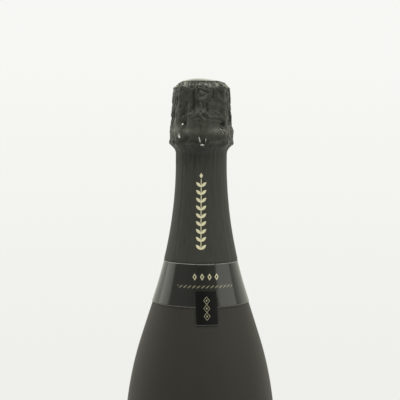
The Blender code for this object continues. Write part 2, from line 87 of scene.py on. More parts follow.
CONE_TOP = NECK_START - SWEEP_ARC * np.sin(SHOULDER_SLOPE)
CONE_TOP_RADIUS = NECK_RADIUS + SWEEP_ARC * (1 - np.cos(SHOULDER_SLOPE))
CONE_RADIUS = BODY_RADIUS - SHOULDER_ARC * (1 - np.cos(SHOULDER_SLOPE))
CONE_BOTTOM = CONE_TOP - (CONE_RADIUS - CONE_TOP_RADIUS) / np.tan(SHOULDER_SLOPE)
SHOULDER_START = CONE_BOTTOM - SHOULDER_ARC * np.sin(SHOULDER_SLOPE)
GLASS_COLUMNS = 160
KNURL_PITCH = 2.5
KNURL_HEIGHT = 1.2


def beside(*columns):
    """Numbers side by side as the coordinates of points, each array stretched to fit the rest."""
    return np.stack(np.broadcast_arrays(*columns), axis=-1)


def turn(radius, angle, height):
    """Points at distances from the axis, angles in degrees from the front, and heights."""
    around = np.radians(angle)
    return beside(radius * np.sin(around), -radius * np.cos(around), height)


def even_angles(count):
    """This many angles in degrees, evenly round a full turn."""
    return np.arange(count) * 360 / count


def bend(radius, height, size, start, end, steps=10):
    """Points (radius, height) on an arc about a centre, at angles in degrees from outward."""
    turns = np.radians(np.linspace(start, end, steps + 1))
    return beside(radius + size * np.cos(turns), height + size * np.sin(turns))


def cover(rows, columns, around):
    """Corner numbers of a grid's quads, facing out where rows go up and columns go round."""
    across = np.arange(columns if around else columns - 1)
    low = np.arange(rows - 1)[:, None] * columns
    near, far = low + across, low + (across + 1) % columns
    return beside(near, far, far + columns, near + columns).reshape(-1, 4)


def closed_round(profile, columns):
    """Points and faces of a round body, whose profile of (radius, height) joins axis to axis.

    Every inner point of the profile becomes a ring, and each end one point under a fan.
    """
    rings = turn(profile[1:-1, :1], even_angles(columns), profile[1:-1, 1:])
    points = np.concatenate([rings.reshape(-1, 3), beside(0.0, 0.0, profile[[0, -1], 1])])
    near = np.arange(columns)
    far = (near + 1) % columns
    last = (len(rings) - 1) * columns
    faces = cover(len(rings), columns, True).tolist()
    faces += beside(len(points) - 2, far, near).tolist()
    faces += beside(last + near, last + far, len(points) - 1).tolist()
    return points, faces


def make_piece(name, body, node, slot, materials, points, faces, parts=None):
    """A smooth mesh object on a body, in a CAD node's place. parts gives each face's material."""
    mesh = bpy.data.meshes.new(name)
    mesh.from_pydata((np.reshape(points, (-1, 3)) * MM).tolist(), [], faces)
    mesh.shade_smooth()
    for material in materials:
        mesh.materials.append(material)
    if parts is not None:
        mesh.polygons.foreach_set("material_index", parts)
    piece = bpy.data.objects.new(name, mesh)
    bpy.context.scene.collection.objects.link(piece)
    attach(piece, body)
    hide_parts(node)
    return piece


def shader_math(operation):
    """An operator that adds the Math node of this operation on a signal and another value."""
    return lambda signal, other: signal.math(operation, other)


class Signal:
    """One shader socket. An operator on it, with a number or a signal, adds its Math node."""

    def __init__(self, nodes, socket):
        self.nodes, self.socket = nodes, socket

    def math(self, operation, *others):
        """The Math node of an operation on the signal and on other values."""
        values = dict(enumerate((self, *others)))
        return self.nodes.add("ShaderNodeMath", {"operation": operation}, values)

    def inside(self, blur):
        """1 where the signal is under zero and 0 over it, with an edge as wide as blur."""
        settings = {"operation": "SUBTRACT", "use_clamp": True}
        return self.nodes.add("ShaderNodeMath", settings, {0: 0.5, 1: self / blur})

    def __rsub__(self, other):
        return self * -1 + other

    def __abs__(self):
        return self.math("ABSOLUTE")

    __add__ = __radd__ = shader_math("ADD")
    __sub__ = shader_math("SUBTRACT")
    __mul__ = __rmul__ = shader_math("MULTIPLY")
    __truediv__ = shader_math("DIVIDE")
    __mod__ = shader_math("FLOORED_MODULO")
    __pow__ = shader_math("POWER")
    __and__ = shader_math("MINIMUM")
    __or__ = shader_math("MAXIMUM")


class Nodes:
    """The nodes of a material or a world, with its place on the piece in millimetres."""

    def __init__(self, tree):
        self.tree = tree
        place = self.add("ShaderNodeTexCoord", {}, {}, "Object")
        self.place = self.vector("SCALE", place, {"Scale": 1 / MM})
        self.x, self.y, self.z = self.axes(self.place)
        self.reach = (self.x**2 + self.y**2) ** 0.5
        self.angle = self.x.math("ARCTAN2", self.y * -1)

    def add(self, kind, settings, inputs, output=0):
        """A node of this kind: its settings first, then a value or a link for each input."""
        node = self.tree.nodes.new(kind)
        for name, value in settings.items():
            setattr(node, name, value)
        for name, value in inputs.items():
            if isinstance(value, Signal):
                self.tree.links.new(value.socket, node.inputs[name])
            else:
                node.inputs[name].default_value = value
        return Signal(self, node.outputs[output])

    def vector(self, operation, first, others):
        """The Vector Math node of an operation on a vector and on other values."""
        return self.add("ShaderNodeVectorMath", {"operation": operation}, {0: first, **others})

    def axes(self, vector):
        """A vector's three coordinates."""
        return [self.add("ShaderNodeSeparateXYZ", {}, {0: vector}, axis) for axis in range(3)]

    def mix(self, share, first, second):
        """One colour that turns into another as the share goes from 0 to 1."""
        ends = [end if isinstance(end, Signal) else (*end, 1) for end in (first, second)]
        inputs = {0: share, 6: ends[0], 7: ends[1]}
        return self.add("ShaderNodeMix", {"data_type": "RGBA"}, inputs, 2)

    def noise(self, size, detail=2.0, stretch=(1, 1, 1)):
        """Wandering values about 0.5, with patches this many millimetres across."""
        place = self.vector("MULTIPLY", self.place, {1: stretch})
        inputs = {"Vector": place, "Scale": 1 / size, "Detail": detail}
        return self.add("ShaderNodeTexNoise", {}, inputs)

    def cells(self, size, feature="F1", output="Distance", stretch=(1, 1, 1)):
        """Grains this many millimetres across: the way to their middle or edge, or a colour."""
        place = self.vector("MULTIPLY", self.place, {1: stretch})
        inputs = {"Vector": place, "Scale": 1 / size}
        return self.add("ShaderNodeTexVoronoi", {"feature": feature}, inputs, output)

    def stored(self, attribute):
        """A number that the mesh holds for each of its points."""
        return self.add("ShaderNodeAttribute", {"attribute_name": attribute}, {}, "Fac")

    def bump(self, height):
        """The normal that a height in millimetres gives."""
        return self.add("ShaderNodeBump", {}, {"Height": height, "Distance": MM})


def finish(name, dress):
    """A material whose Principled shader takes the sockets that dress works out from its nodes."""
    material = bpy.data.materials.new(name)
    material.use_nodes = True
    nodes = Nodes(material.node_tree)
    shader = material.node_tree.nodes["Principled BSDF"]
    for socket, value in dress(nodes).items():
        if isinstance(value, Signal):
            material.node_tree.links.new(value.socket, shader.inputs[socket])
        else:
            shader.inputs[socket].default_value = value
    return material


def glass_reach(height):
    """The glass's outer radius at heights: body, round shoulder, cone, hollow sweep and neck."""
    above, below = height - SHOULDER_START, NECK_START - height
    shoulder = BODY_RADIUS - SHOULDER_ARC + np.sqrt(np.clip(SHOULDER_ARC**2 - above**2, 0, None))
    cone = CONE_TOP_RADIUS + (CONE_TOP - height) * np.tan(SHOULDER_SLOPE)
    sweep = NECK_RADIUS + SWEEP_ARC - np.sqrt(np.clip(SWEEP_ARC**2 - below**2, 0, None))
    under = [height < top for top in (SHOULDER_START, CONE_BOTTOM, CONE_TOP, NECK_START)]
    return np.select(under, [BODY_RADIUS, shoulder, cone, sweep], NECK_RADIUS)


def hollow_reach(height):
    """The hollow's radius: the wall thins evenly from the body to the neck."""
    walls = (BODY_WALL, NECK_RADIUS - BORE_RADIUS)
    return glass_reach(height) - np.interp(height, (SHOULDER_START, NECK_START), walls)


def glass_profile():
    """From the punt's middle round the outside to the mouth, and down inside to the floor.

    The punt and the floor over it are parabolas, and all edges are arcs.
    """
    share = np.linspace(0, 1, 28)
    tip = PUNT_TIP_DROP * np.clip(1 - share * PUNT_RADIUS / PUNT_TIP_RADIUS, 0, 1) ** 2
    side = np.linspace(SHOULDER_START, NECK_START, 90)
    ring_side, trough = RING_RADIUS - RING_EDGE, BODY_RADIUS - BODY_WALL - INNER_HEEL_RADIUS
    floor_rise = PUNT_DEPTH - FLOOR_THICKNESS / 4
    return np.concatenate([
        beside(PUNT_RADIUS * share, PUNT_DEPTH * (1 - share**2) - tip),
        bend(BODY_RADIUS - HEEL_RADIUS, HEEL_RADIUS, HEEL_RADIUS, -90, 0, 14),
        beside(glass_reach(side), side),
        [(NECK_RADIUS, RING_BOTTOM)],
        bend(ring_side, RING_BOTTOM + RING_EDGE, RING_EDGE, -90, 0, 6),
        bend(ring_side, RING_TOP - RING_EDGE, RING_EDGE, 0, 90, 6),
        [(WAIST_RADIUS, RING_TOP + WAIST_SLOPE), (WAIST_RADIUS, LIP_BOTTOM - WAIST_SLOPE)],
        [(LIP_RADIUS, LIP_BOTTOM)],
        bend(LIP_RADIUS - LIP_EDGE, BOTTLE_HEIGHT - LIP_EDGE, LIP_EDGE, 0, 90, 8),
        bend(BORE_RADIUS + MOUTH_EDGE, BOTTLE_HEIGHT - MOUTH_EDGE, MOUTH_EDGE, 90, 180, 6),
        beside(hollow_reach(side), side)[::-3],
        bend(trough, FLOOR_THICKNESS + INNER_HEEL_RADIUS, INNER_HEEL_RADIUS, 0, -90, 10),
        beside(trough * share, FLOOR_THICKNESS + floor_rise * (1 - share**2))[::-1],
    ])


def dress_glass(nodes):
    """Black glass with a fine frosted grain, rubbed smoother in places, and two mould seams.

    Round the foot it has knurls, a row of short ribs to stand on.
    """
    grain = nodes.noise(0.25, detail=3)
    waves = nodes.noise(14, detail=1)
    rubs = nodes.noise(9, detail=4, stretch=(1, 1, 0.4))
    seam = (abs(nodes.y) - 0.15).inside(0.2) * (nodes.z - RING_BOTTOM).inside(1)
    knurls = abs((nodes.angle * (180 / np.pi)) % KNURL_PITCH - KNURL_PITCH / 2)
    knurls = knurls * (nodes.z - KNURL_HEIGHT).inside(0.8)
    return {
        "Base Color": nodes.mix(rubs, (0.0345, 0.0312, 0.0267), (0.040, 0.0368, 0.0322)),
        "Roughness": 0.50 + rubs * 0.12,
        "Specular IOR Level": 0.3,
        "Normal": nodes.bump(grain * 0.012 + waves * 0.12 + seam * 0.05 + knurls * 0.2),
    }


make_piece(
    "frosted_bottle", "bottle", "bottle_glass", "frosted_glass",
    [finish("frosted_black_glass", dress_glass)], *closed_round(glass_profile(), GLASS_COLUMNS),
)

# Cork
# The stopper's head and body are pressed from cork grains and glue. Two discs cut from the bark
# are glued under the body, where the wine touches them, and the head swells above the mouth.
CORK_HEAD_EDGE = 4.0
CORK_HEAD_FOOT_EDGE = 1.0
CORK_SHANK_EDGE = 0.5
CORK_SHANK_RADIUS = corners("cork_disc_lower")[1, 0]
cork_low, cork_high = corners("cork_body")
CORK_HEAD_RADIUS = cork_high[0]
CORK_HEAD_BOTTOM = BOTTLE_HEIGHT + 0.3
CORK_COLUMNS = 120


def ripple(points, size, seed, creased=False):
    """Wandering heights about zero at points: a sum of plane waves this long in many directions.

    Creased waves are folded at zero, which leaves sharp lines as on crumpled foil.
    """
    chance = np.random.default_rng(seed)
    total = np.zeros(points.shape[:-1])
    for direction in chance.normal(size=(14, 3)):
        wave = np.sin(points @ direction * 2 * np.pi / size / 1.7 + chance.uniform(0, 2 * np.pi))
        total += 1.53 - 2.4 * np.abs(wave) if creased else wave
    return total / 14**0.5 / 2


def rough_cork(profile, seed):
    """Points and faces of a round cork piece, whose skin wanders in and out by hundredths."""
    points, faces = closed_round(profile, CORK_COLUMNS)
    flat = np.array([1, 1, 0])
    inward = 0.05 * (1 + ripple(points, 2.5, seed)) / np.maximum(1, np.hypot(*points.T[:2]))
    return points * (1 - flat * inward[:, None]), faces


def dress_pressed_cork(nodes):
    """Grains 1 to 3 mm wide, each of its own brown, dark glue between them, and small pits."""
    tint = nodes.axes(nodes.cells(2.2, output="Color"))[0]
    gaps = (nodes.cells(2.2, "DISTANCE_TO_EDGE") - 0.05).inside(0.06)
    pits = (nodes.cells(3.1) - 0.14).inside(0.08)
    fine = nodes.noise(0.6, detail=4)
    grain = nodes.mix(tint * 0.7 + fine * 0.3, (0.40, 0.235, 0.115), (0.76, 0.55, 0.33))
    return {
        "Base Color": nodes.mix((gaps | pits) * 0.75, grain, (0.16, 0.085, 0.04)),
        "Roughness": 0.85 + fine * 0.1,
        "Normal": nodes.bump(fine * 0.12 - gaps * 0.1 - pits * 0.25),
    }


def dress_natural_cork(nodes):
    """Bark cut across its rings: pale brown lines of growth, and dark pores drawn along them."""
    rings = nodes.noise(0.8, detail=3, stretch=(1, 0.12, 1))
    pores = (0.36 - nodes.noise(1.2, detail=2, stretch=(0.35, 1, 1))).inside(0.04)
    fine = nodes.noise(0.4, detail=4)
    bark = nodes.mix(rings * 0.8 + fine * 0.2, (0.52, 0.34, 0.18), (0.80, 0.60, 0.38))
    return {
        "Base Color": nodes.mix((1 - pores) * 0.8, bark, (0.14, 0.075, 0.035)),
        "Roughness": 0.85 + fine * 0.1,
        "Normal": nodes.bump(fine * 0.08 + pores * 0.2),
    }


shank = CORK_SHANK_RADIUS - CORK_SHANK_EDGE
crown = CORK_HEAD_RADIUS - CORK_HEAD_EDGE
head_foot = (CORK_HEAD_RADIUS - CORK_HEAD_FOOT_EDGE, CORK_HEAD_BOTTOM + CORK_HEAD_FOOT_EDGE)
cork_profile = np.concatenate([
    [(0, cork_low[2]), (shank / 2, cork_low[2])],
    bend(shank, cork_low[2] + CORK_SHANK_EDGE, CORK_SHANK_EDGE, -90, 0, 4),
    beside(CORK_SHANK_RADIUS, np.linspace(cork_low[2] + 1, CORK_HEAD_BOTTOM, 12)),
    [(12, CORK_HEAD_BOTTOM)],
    bend(*head_foot, CORK_HEAD_FOOT_EDGE, -90, 0, 6),
    [(CORK_HEAD_RADIUS, CORK_HEAD_BOTTOM + 4), (CORK_HEAD_RADIUS, CORK_HEAD_BOTTOM + 7)],
    bend(crown, cork_high[2] - CORK_HEAD_EDGE, CORK_HEAD_EDGE, 0, 90, 12),
    [(crown / 2, cork_high[2]), (0, cork_high[2])],
])
make_piece(
    "pressed_cork_body", "stopper", "cork_body", "pressed_cork",
    [finish("pressed_cork_grains", dress_pressed_cork)], *rough_cork(cork_profile, 3),
)
natural_cork = finish("natural_cork_bark", dress_natural_cork)
for node, seed in (("cork_disc_upper", 5), ("cork_disc_lower", 8)):
    low, high = corners(node)[:, 2]
    profile = np.concatenate([
        [(0, low), (shank / 2, low)],
        bend(shank, low + CORK_SHANK_EDGE, CORK_SHANK_EDGE, -90, 0, 4),
        bend(shank, high - CORK_SHANK_EDGE, CORK_SHANK_EDGE, 0, 90, 4),
        [(shank / 2, high), (0, high)],
    ])
    make_piece(
        node + "_bark", "stopper", node, "natural_cork", [natural_cork], *rough_cork(profile, seed)
    )

# Metal cap
# A disc of lacquered tinplate on the cork's head, so that the cage doesn't cut into it. It is
# stamped to a dome with a step round it, and its cut edge is bare metal.
CAP_THICKNESS = 0.3
CAP_EDGE = CAP_THICKNESS / 2
CAP_DOME_RADIUS = 10.2
CAP_DOME_HEIGHT = 2.5
CAP_STEP_RADIUS = 8.4
CAP_STEP_HEIGHT = 0.25
CAP_STEP_WIDTH = 0.12
cap_low, cap_high = corners("metal_cap")
CAP_RADIUS = cap_high[0]


def cap_line(radius):
    """The height of the cap's metal over its rim: a parabola with a small step near its foot."""
    dome = CAP_DOME_HEIGHT * np.clip(1 - (radius / CAP_DOME_RADIUS) ** 2, 0, None)
    step = CAP_STEP_HEIGHT / (1 + np.exp((radius - CAP_STEP_RADIUS) / CAP_STEP_WIDTH))
    return dome - CAP_STEP_HEIGHT / 2 + step - CAP_STEP_HEIGHT / 2 * (radius < CAP_STEP_RADIUS)


def rosette(nodes, across, up, size, petals=8):
    """A round flower of petals between two rings, as a mask: 1 on its lines and 0 off them."""
    far = (across**2 + up**2) ** 0.5
    turning = across.math("ARCTAN2", up) * (petals / 2)
    petal = abs(far / size - 0.58 * abs(turning.math("COSINE"))) - 0.035
    heart = far / size - 0.12
    rim = abs(far / size - 0.86) - 0.035
    halo = abs(far / size - 1.0) - 0.018
    return (petal & heart & rim & halo).inside(0.03)


def dress_cap(nodes):
    """Black lacquer with a gold flower in rings, on tinplate that shows at the cut edge."""
    gold = rosette(nodes, nodes.x, nodes.y, 7.2, petals=12)
    gold = gold | (abs(nodes.reach - 11.9) - 0.22).inside(0.06)
    bare = (CAP_RADIUS - CAP_EDGE - nodes.reach).inside(0.06)
    fine = nodes.noise(0.5, detail=3)
    lacquer = nodes.mix(gold, (0.02, 0.02, 0.019), (0.72, 0.62, 0.40))
    return {
        "Base Color": nodes.mix(bare, lacquer, (0.62, 0.61, 0.59)),
        "Roughness": 0.24 + fine * 0.12 + bare * 0.1,
        "Metallic": bare | gold * 0.6,
        "Normal": nodes.bump(fine * 0.01 + gold * 0.02),
    }


reaches = np.linspace(0, CAP_RADIUS - CAP_EDGE, 70)
under = beside(reaches, cap_low[2] + cap_line(reaches))
edge = bend(CAP_RADIUS - CAP_EDGE, cap_low[2] + CAP_EDGE, CAP_EDGE, -60, 60, 4)
over = under[::-1] + (0, CAP_THICKNESS)
make_piece(
    "stamped_cap", "muselet", "metal_cap", "cap_metal", [finish("cap_lacquer", dress_cap)],
    *closed_round(np.concatenate([under, edge, over]), CORK_COLUMNS),
)

# Wire cage
# Galvanised steel wire. Four legs twisted from two strands spread into a ring on the cap, run down
# the cork and over the glass ring, and hook round a belt wire, whose two ends form the key.
STRAND = 0.38
BELT_STRAND = 0.5
RING_WIRE = 0.45
RING_WIRE_RADIUS = 11.2
BELT_RADIUS = 17.0
BELT_OPENING = 7
BELT_END_ASIDE = 0.65
LEG_TWIST_LENGTH = 5.5
LEG_TWISTED = 33
LEG_SPREAD = 2.0
LEG_SPREAD_LENGTH = 3.6
LEG_ANGLES = (45, 135, 225, 315)
WIRE_SIDES = 10
RING_STEPS, LEG_STEPS, BELT_STEPS, STEM_STEPS, LOOP_STEPS = 120, 300, 260, 40, 90
KEY_REACH = 18.6
KEY_STRAND = 0.4
KEY_STEM_TURN = 3 * np.pi
KEY_LOOP_HEIGHT = 8.0
KEY_LOOP_WIDTH = 7.0
KEY_LOOP_TAPER_SHARE = 0.35
UPWARD = np.array([0, 0, 1.0])
belt_height = corners("cage_belt")[:, 2].mean()
ring_height = corners("cage_ring")[:, 2].mean()


def distance_along(path):
    """How far along a path of points each of them lies."""
    steps = np.linalg.norm(np.diff(path, axis=0), axis=1)
    return np.concatenate([[0], np.cumsum(steps)])


def unit(vectors):
    """Vectors brought to a length of one."""
    return vectors / np.linalg.norm(vectors, axis=-1, keepdims=True)


def smooth_path(knots, count):
    """Points evenly along a curve through knots, each stretch a cubic with neighbours' slopes."""
    knots = np.array(knots, dtype=float)
    padded = np.concatenate([knots[:1], knots, knots[-1:]])
    slopes = (padded[2:] - padded[:-2]) / 2
    share = np.linspace(0, 1, 24, endpoint=False)[None, :, None]
    rest = 1 - share
    ends = (knots[:-1], knots[1:], slopes[:-1], slopes[1:])
    start, end, leave, arrive = (part[:, None] for part in ends)
    fine = (
        (1 + 2 * share) * rest**2 * start + share * rest**2 * leave
        + share**2 * (3 - 2 * share) * end + share**2 * (share - 1) * arrive
    ).reshape(-1, knots.shape[1])
    fine = np.concatenate([fine, knots[-1:]])
    along = distance_along(fine)
    places = np.linspace(0, along[-1], count)
    return beside(*(np.interp(places, along, column) for column in fine.T))


def tube(path, radius, side, closed=False):
    """Points and faces of a wire: a circle carried along a path, square to it at every point.

    side is a direction, or one for each point, that the path never runs along. Ends are capped.
    """
    ahead = np.roll(path, -1, axis=0) - np.roll(path, 1, axis=0)
    if not closed:
        ahead[0], ahead[-1] = path[1] - path[0], path[-1] - path[-2]
    ahead = unit(ahead)
    first = unit(np.cross(ahead, side))
    second = np.cross(ahead, first)
    turns = (np.arange(WIRE_SIDES) * 2 * np.pi / WIRE_SIDES)[:, None]
    points = path[:, None] + radius * (
        np.cos(turns) * first[:, None] + np.sin(turns) * second[:, None]
    )
    last = (len(path) - 1) * WIRE_SIDES
    if closed:
        faces = cover(len(path) + 1, WIRE_SIDES, True) % (last + WIRE_SIDES)
        return points.reshape(-1, 3), faces.tolist()
    caps = [list(range(WIRE_SIDES))[::-1], list(range(last, last + WIRE_SIDES))]
    return points.reshape(-1, 3), cover(len(path), WIRE_SIDES, True).tolist() + caps


def strands(path, half_gap, turns, side, radius):
    """Two wires wound about a path: each is off it by half the gap, at turns in radians."""
    out = np.cross(unit(np.gradient(path, axis=0)), side)
    off = half_gap[:, None] * (np.cos(turns)[:, None] * side + np.sin(turns)[:, None] * out)
    points, faces = tube(path + off, radius, side + 0.31 * out)
    other_points, other_faces = tube(path - off, radius, side + 0.31 * out)
    faces += [[corner + len(points) for corner in face] for face in other_faces]
    return np.concatenate([points, other_points]), faces


def dress_wire(nodes):
    """Dull zinc on steel, a little spotted, with fine lines from drawing."""
    spots = nodes.noise(0.7, detail=4)
    return {
        "Base Color": nodes.mix(spots, (0.36, 0.355, 0.34), (0.56, 0.55, 0.53)),
        "Roughness": 0.28 + spots * 0.22,
        "Metallic": 1.0,
        "Normal": nodes.bump(nodes.noise(0.2, detail=2, stretch=(1, 1, 0.2)) * 0.012),
    }


cage_steel = finish("galvanised_wire", dress_wire)


def wire_piece(name, body, node, points, faces):
    """A piece of the cage, of bare galvanised wire."""
    make_piece(name, body, node, "cage_wire", [cage_steel], points, faces)


ring_path = turn(RING_WIRE_RADIUS, even_angles(RING_STEPS), ring_height)
wire_piece("top_ring_wire", "muselet", "cage_ring", *tube(ring_path, RING_WIRE, UPWARD, True))
leg_aside = 2 * STRAND + 0.05
cork_edge = CORK_HEAD_EDGE + leg_aside
crown_side, ring_side = CORK_HEAD_RADIUS + leg_aside, RING_RADIUS + leg_aside
leg_knots = [
    (RING_WIRE_RADIUS + RING_WIRE + STRAND, ring_height),
    (CAP_RADIUS + 0.3, ring_height - 0.32),
    (crown + cork_edge * 0.71, cork_high[2] - CORK_HEAD_EDGE * 0.29 + leg_aside * 0.71),
    (crown_side, cork_high[2] - CORK_HEAD_EDGE),
    (crown_side, CORK_HEAD_BOTTOM + 2),
    (ring_side - 0.2, RING_TOP + 1),
    (ring_side, RING_TOP - 1.5),
    (ring_side, RING_BOTTOM + 1.6),
]
hook = bend(BELT_RADIUS, belt_height, BELT_STRAND + STRAND + 0.06, 10, -225, 14)
leg_line = smooth_path(np.concatenate([leg_knots, hook]), LEG_STEPS)
leg_along = distance_along(leg_line)
loose = np.clip(1 - leg_along / LEG_SPREAD_LENGTH, 0, 1) ** 2
twisted = np.clip(leg_along - LEG_SPREAD_LENGTH, 0, LEG_TWISTED)
leg_turns = 2 * np.pi * twisted / LEG_TWIST_LENGTH
for number, angle in enumerate(LEG_ANGLES, 1):
    leg_path = turn(leg_line[:, 0], angle, leg_line[:, 1])
    along_ring = turn(1.0, angle + 90, 0)
    wires = strands(leg_path, STRAND + LEG_SPREAD * loose, leg_turns, along_ring, STRAND)
    wire_piece(f"leg_wires_{number}", "muselet", f"cage_leg_{number}", *wires)
belt_angles = np.linspace(BELT_OPENING, 360 - BELT_OPENING, 150)
belt_end = (BELT_END_ASIDE, -KEY_REACH + BELT_STRAND, belt_height)
belt_knots = np.concatenate([
    [belt_end], turn(BELT_RADIUS, belt_angles, belt_height), [belt_end * np.array([-1, 1, 1])]
])
belt_path = smooth_path(belt_knots, BELT_STEPS)
wire_piece("belt_wire", "muselet", "cage_belt", *tube(belt_path, BELT_STRAND, UPWARD))
stem_path = beside(0.0, -KEY_REACH, np.linspace(*corners("key_stem")[:, 2], STEM_STEPS))
stem_turns = np.linspace(0, KEY_STEM_TURN, STEM_STEPS)
stem_gap = np.full(STEM_STEPS, KEY_STRAND)
stem_wires = strands(stem_path, stem_gap, stem_turns, np.array([1.0, 0, 0]), KEY_STRAND)
wire_piece("key_stem_wires", "key", "key_stem", *stem_wires)
rounds = np.linspace(0, 2 * np.pi, LOOP_STEPS, endpoint=False)
loop_path = beside(
    KEY_LOOP_WIDTH / 2 * np.sin(rounds) * (1 - KEY_LOOP_TAPER_SHARE * np.cos(rounds)),
    -KEY_REACH,
    corners("key_loop")[0, 2] + BELT_STRAND + KEY_LOOP_HEIGHT / 2 * (1 - np.cos(rounds)),
)
loop_wire = tube(loop_path, BELT_STRAND, np.array([0, 1.0, 0]), True)
wire_piece("key_loop_wire", "turner", "key_loop", *loop_wire)

# Foil hood
# The upper part of the capsule, of thin aluminium lacquered black outside and bare inside. It is
# pressed by hand or machine over cork, wires and glass ring, which leaves folds, dents and ridges.
# On the foil a place is millimetres round from the front and up its surface from the tear line.
FOIL = 0.14
FOIL_RADIUS = 17.0
HOOD_COLUMNS = 372
HOOD_ROWS = 130
TEAR_LINE = corners("hood_foil")[0, 2] - 0.1
HOOD_TOP = corners("hood_foil")[1, 2]
CHAMFER_FOOT = 311.2
TURNED_IN = 318.0
LEG_RIDGE_WIDTH = 3.1
KEY_FACET = KEY_REACH + BELT_STRAND + 0.3
KEY_FOOT = 284.5
KEY_MIDDLE = 289.5
KEY_TOP = 298.6
hood_knots = [
    (17.6, TEAR_LINE), (18.2, 280.1), (18.45, 281.0), (18.35, 281.7), (18.1, 282.6), (18.1, 284.0),
    (18.2, 285.6), (18.35, 286.8), (18.38, 287.5), (18.25, 288.1), (17.98, 288.9), (17.88, 290.0),
    (17.7, 292.6), (17.2, 297.3), (16.8, 301.9), (16.55, 306.5), (16.3, 309.9), (15.95, 311.2),
    (15.6, 311.9), (15.0, 312.5), (14.15, 313.35), (13.35, 314.2), (12.6, 315.1), (12.2, 315.5),
    (11.6, HOOD_TOP), (10.8, HOOD_TOP), (9.7, HOOD_TOP),
]
# The foil's rise over a leg, and how far it can be pressed in, each as (height, value).
LEG_RISE = (
    (279, 1.2), (290, 1.2), (292.5, 1.35), (297, 1.3), (302, 1.05), (309, 1.2), (313.5, 1.4),
    (316, 1.25), (317, 0.9), (318, 0.35), (319, 0),
)
ROOM = (
    (279, 0.5), (281, 0.5), (283, 0.55), (289.5, 0.55), (290.5, 0.7), (292, 1.9), (299, 1.7),
    (302, 0.7), (309, 0.42), (312, 0.36), (315, 0.38), (317.3, 0.08), (318, 0.1),
)
# The front's folds: each one's height and width, and the corners of its line, round and up.
FRONT_FOLDS = (
    (-0.7, 1.3, -4.7, 312, -4.9, 308.7, -4, 305.5, -4.5, 300.6, -4.1, 296.6),
    (-0.45, 1.3, -8.4, 304.5, -9.4, 301.9, -9.7, 298.9, -10.4, 296.6),
    (-0.6, 0.9, 0.4, 310.7, 2.1, 310, 3.5, 309.4),
    (-0.35, 0.7, -1.9, 309.1, -0.5, 307.8, 1.1, 307.6),
    (-0.6, 1, 2.9, 303.5, 2.5, 300.6, 3.3, 298.3), (-0.5, 1.2, 6.9, 312.3, 6.9, 309.4, 6.2, 306.5),
    (-1.5, 2, 21.6, 311.7, 21.4, 307.1, 20.6, 303.2), (0.5, 2.4, 25.5, 312, 26.5, 307),
    (-0.8, 2.4, -25.6, 303, -26.2, 295.5), (-0.6, 2.4, -26, 287, -26.2, 280.5),
    (-1.4, 1.7, 19.6, 301.9, 19.8, 298, 18.9, 294), (-0.6, 0.8, -12.3, 310.7, -14, 308.7),
    (-0.45, 0.8, 3.9, 294.4, 7.3, 294.8, 10.9, 294, 13.3, 292.7),
    (-0.4, 0.7, -4.7, 294.7, -2.4, 295, -0.5, 295.3),
    (-0.4, 0.8, -0.2, 291.4, -0.5, 289.5, 0, 287.2),
    (-0.4, 0.9, -10.8, 297.3, -9.2, 294.7, -9.5, 294), (-0.5, 0.9, -3.3, 282.9, -2.3, 281.6),
    (-0.45, 0.9, -12.4, 304.8, -11.9, 302.5, -12.2, 300.9),
    (-1.1, 1.2, -18, 309.5, -18.6, 303.2, -18.9, 299.3, -18.6, 296),
    (-0.8, 1, -20.9, 295, -21.4, 289, -20.6, 284), (-1, 1.8, 22.4, 301, 21.9, 294, 22.6, 286),
    (-0.5, 0.8, -5.3, 312.8, -3.8, 312.5, -2.8, 313), (-0.6, 0.6, -0.6, 313.2, 0.1, 312.5),
    (0.3, 0.9, -3.3, 310.7, -2.9, 309.1), (0.5, 0.9, -1.2, 309.4, -0.2, 309.7, 0.8, 308.7),
    (0.5, 1.2, -1.2, 306.1, 0.1, 305.8, 1.8, 306.5, 2.1, 307.1),
    (0.6, 0.7, -1, 303.8, -0.1, 301.9, -0.5, 300.2, 0.7, 298, -0.8, 296.6, 0.1, 295.3, 1.5, 294),
    (0.4, 0.6, -0.5, 293, -0.1, 291.1),
    (0.45, 1, -10.3, 295.8, -8.5, 296.6, -6.4, 297.6, -5.7, 297.3),
    (0.35, 0.8, -4.7, 296, -3.1, 296.6, -2.8, 297.6),
    (0.45, 0.9, 3.9, 295.8, 5.9, 295.7, 8.4, 296, 12.2, 295.5),
    (0.35, 0.9, 8.4, 298.6, 9.9, 297.6, 10.6, 296.3),
    (0.25, 1.6, 9.6, 309.4, 10.2, 306.5, 13.1, 304.5), (0.5, 0.6, 18.4, 310.7, 17.9, 307.1),
    (0.5, 0.6, 15.3, 304.5, 15.4, 301.9, 14.9, 299.3),
    (0.5, 0.8, -17, 310.7, -17.3, 308.4, -16.3, 304.8, -16.7, 301.9),
    (0.4, 0.7, -13.9, 307.8, -14.1, 306.1, -12.8, 304.2, -11.1, 303.2, -11.4, 300.9, -12.6, 299.9),
    (0.4, 0.6, -14.7, 310.4, -16.2, 309.7), (0.3, 0.6, -11.8, 309.4, -13, 308.1),
    (0.25, 1, -7.3, 304.5, -6.8, 300.6, -7.5, 297.3), (0.3, 0.8, 3.5, 287.5, 6, 287.8, 9.1, 288),
    (0.3, 0.7, -9.9, 288, -7.8, 287.2, -5.5, 288.1, -3.3, 287.5),
    (0.5, 0.7, -9.4, 281, -7.4, 280.8, -3.9, 281.1), (0.5, 0.7, 3.8, 281.3, 6.3, 281, 10.4, 281.3),
    (0.55, 0.6, 9.9, 289.6, 10.7, 288.2, 11.7, 286.4),
    (-0.55, 0.6, 10.7, 290, 11.4, 288.5, 12.3, 286.8),
    (0.5, 0.6, 11.6, 289.8, 12.2, 288.4, 12.9, 287.2),
    (0.4, 0.8, -10.9, 290.8, -11.8, 287.6, -12.3, 284.6),
)
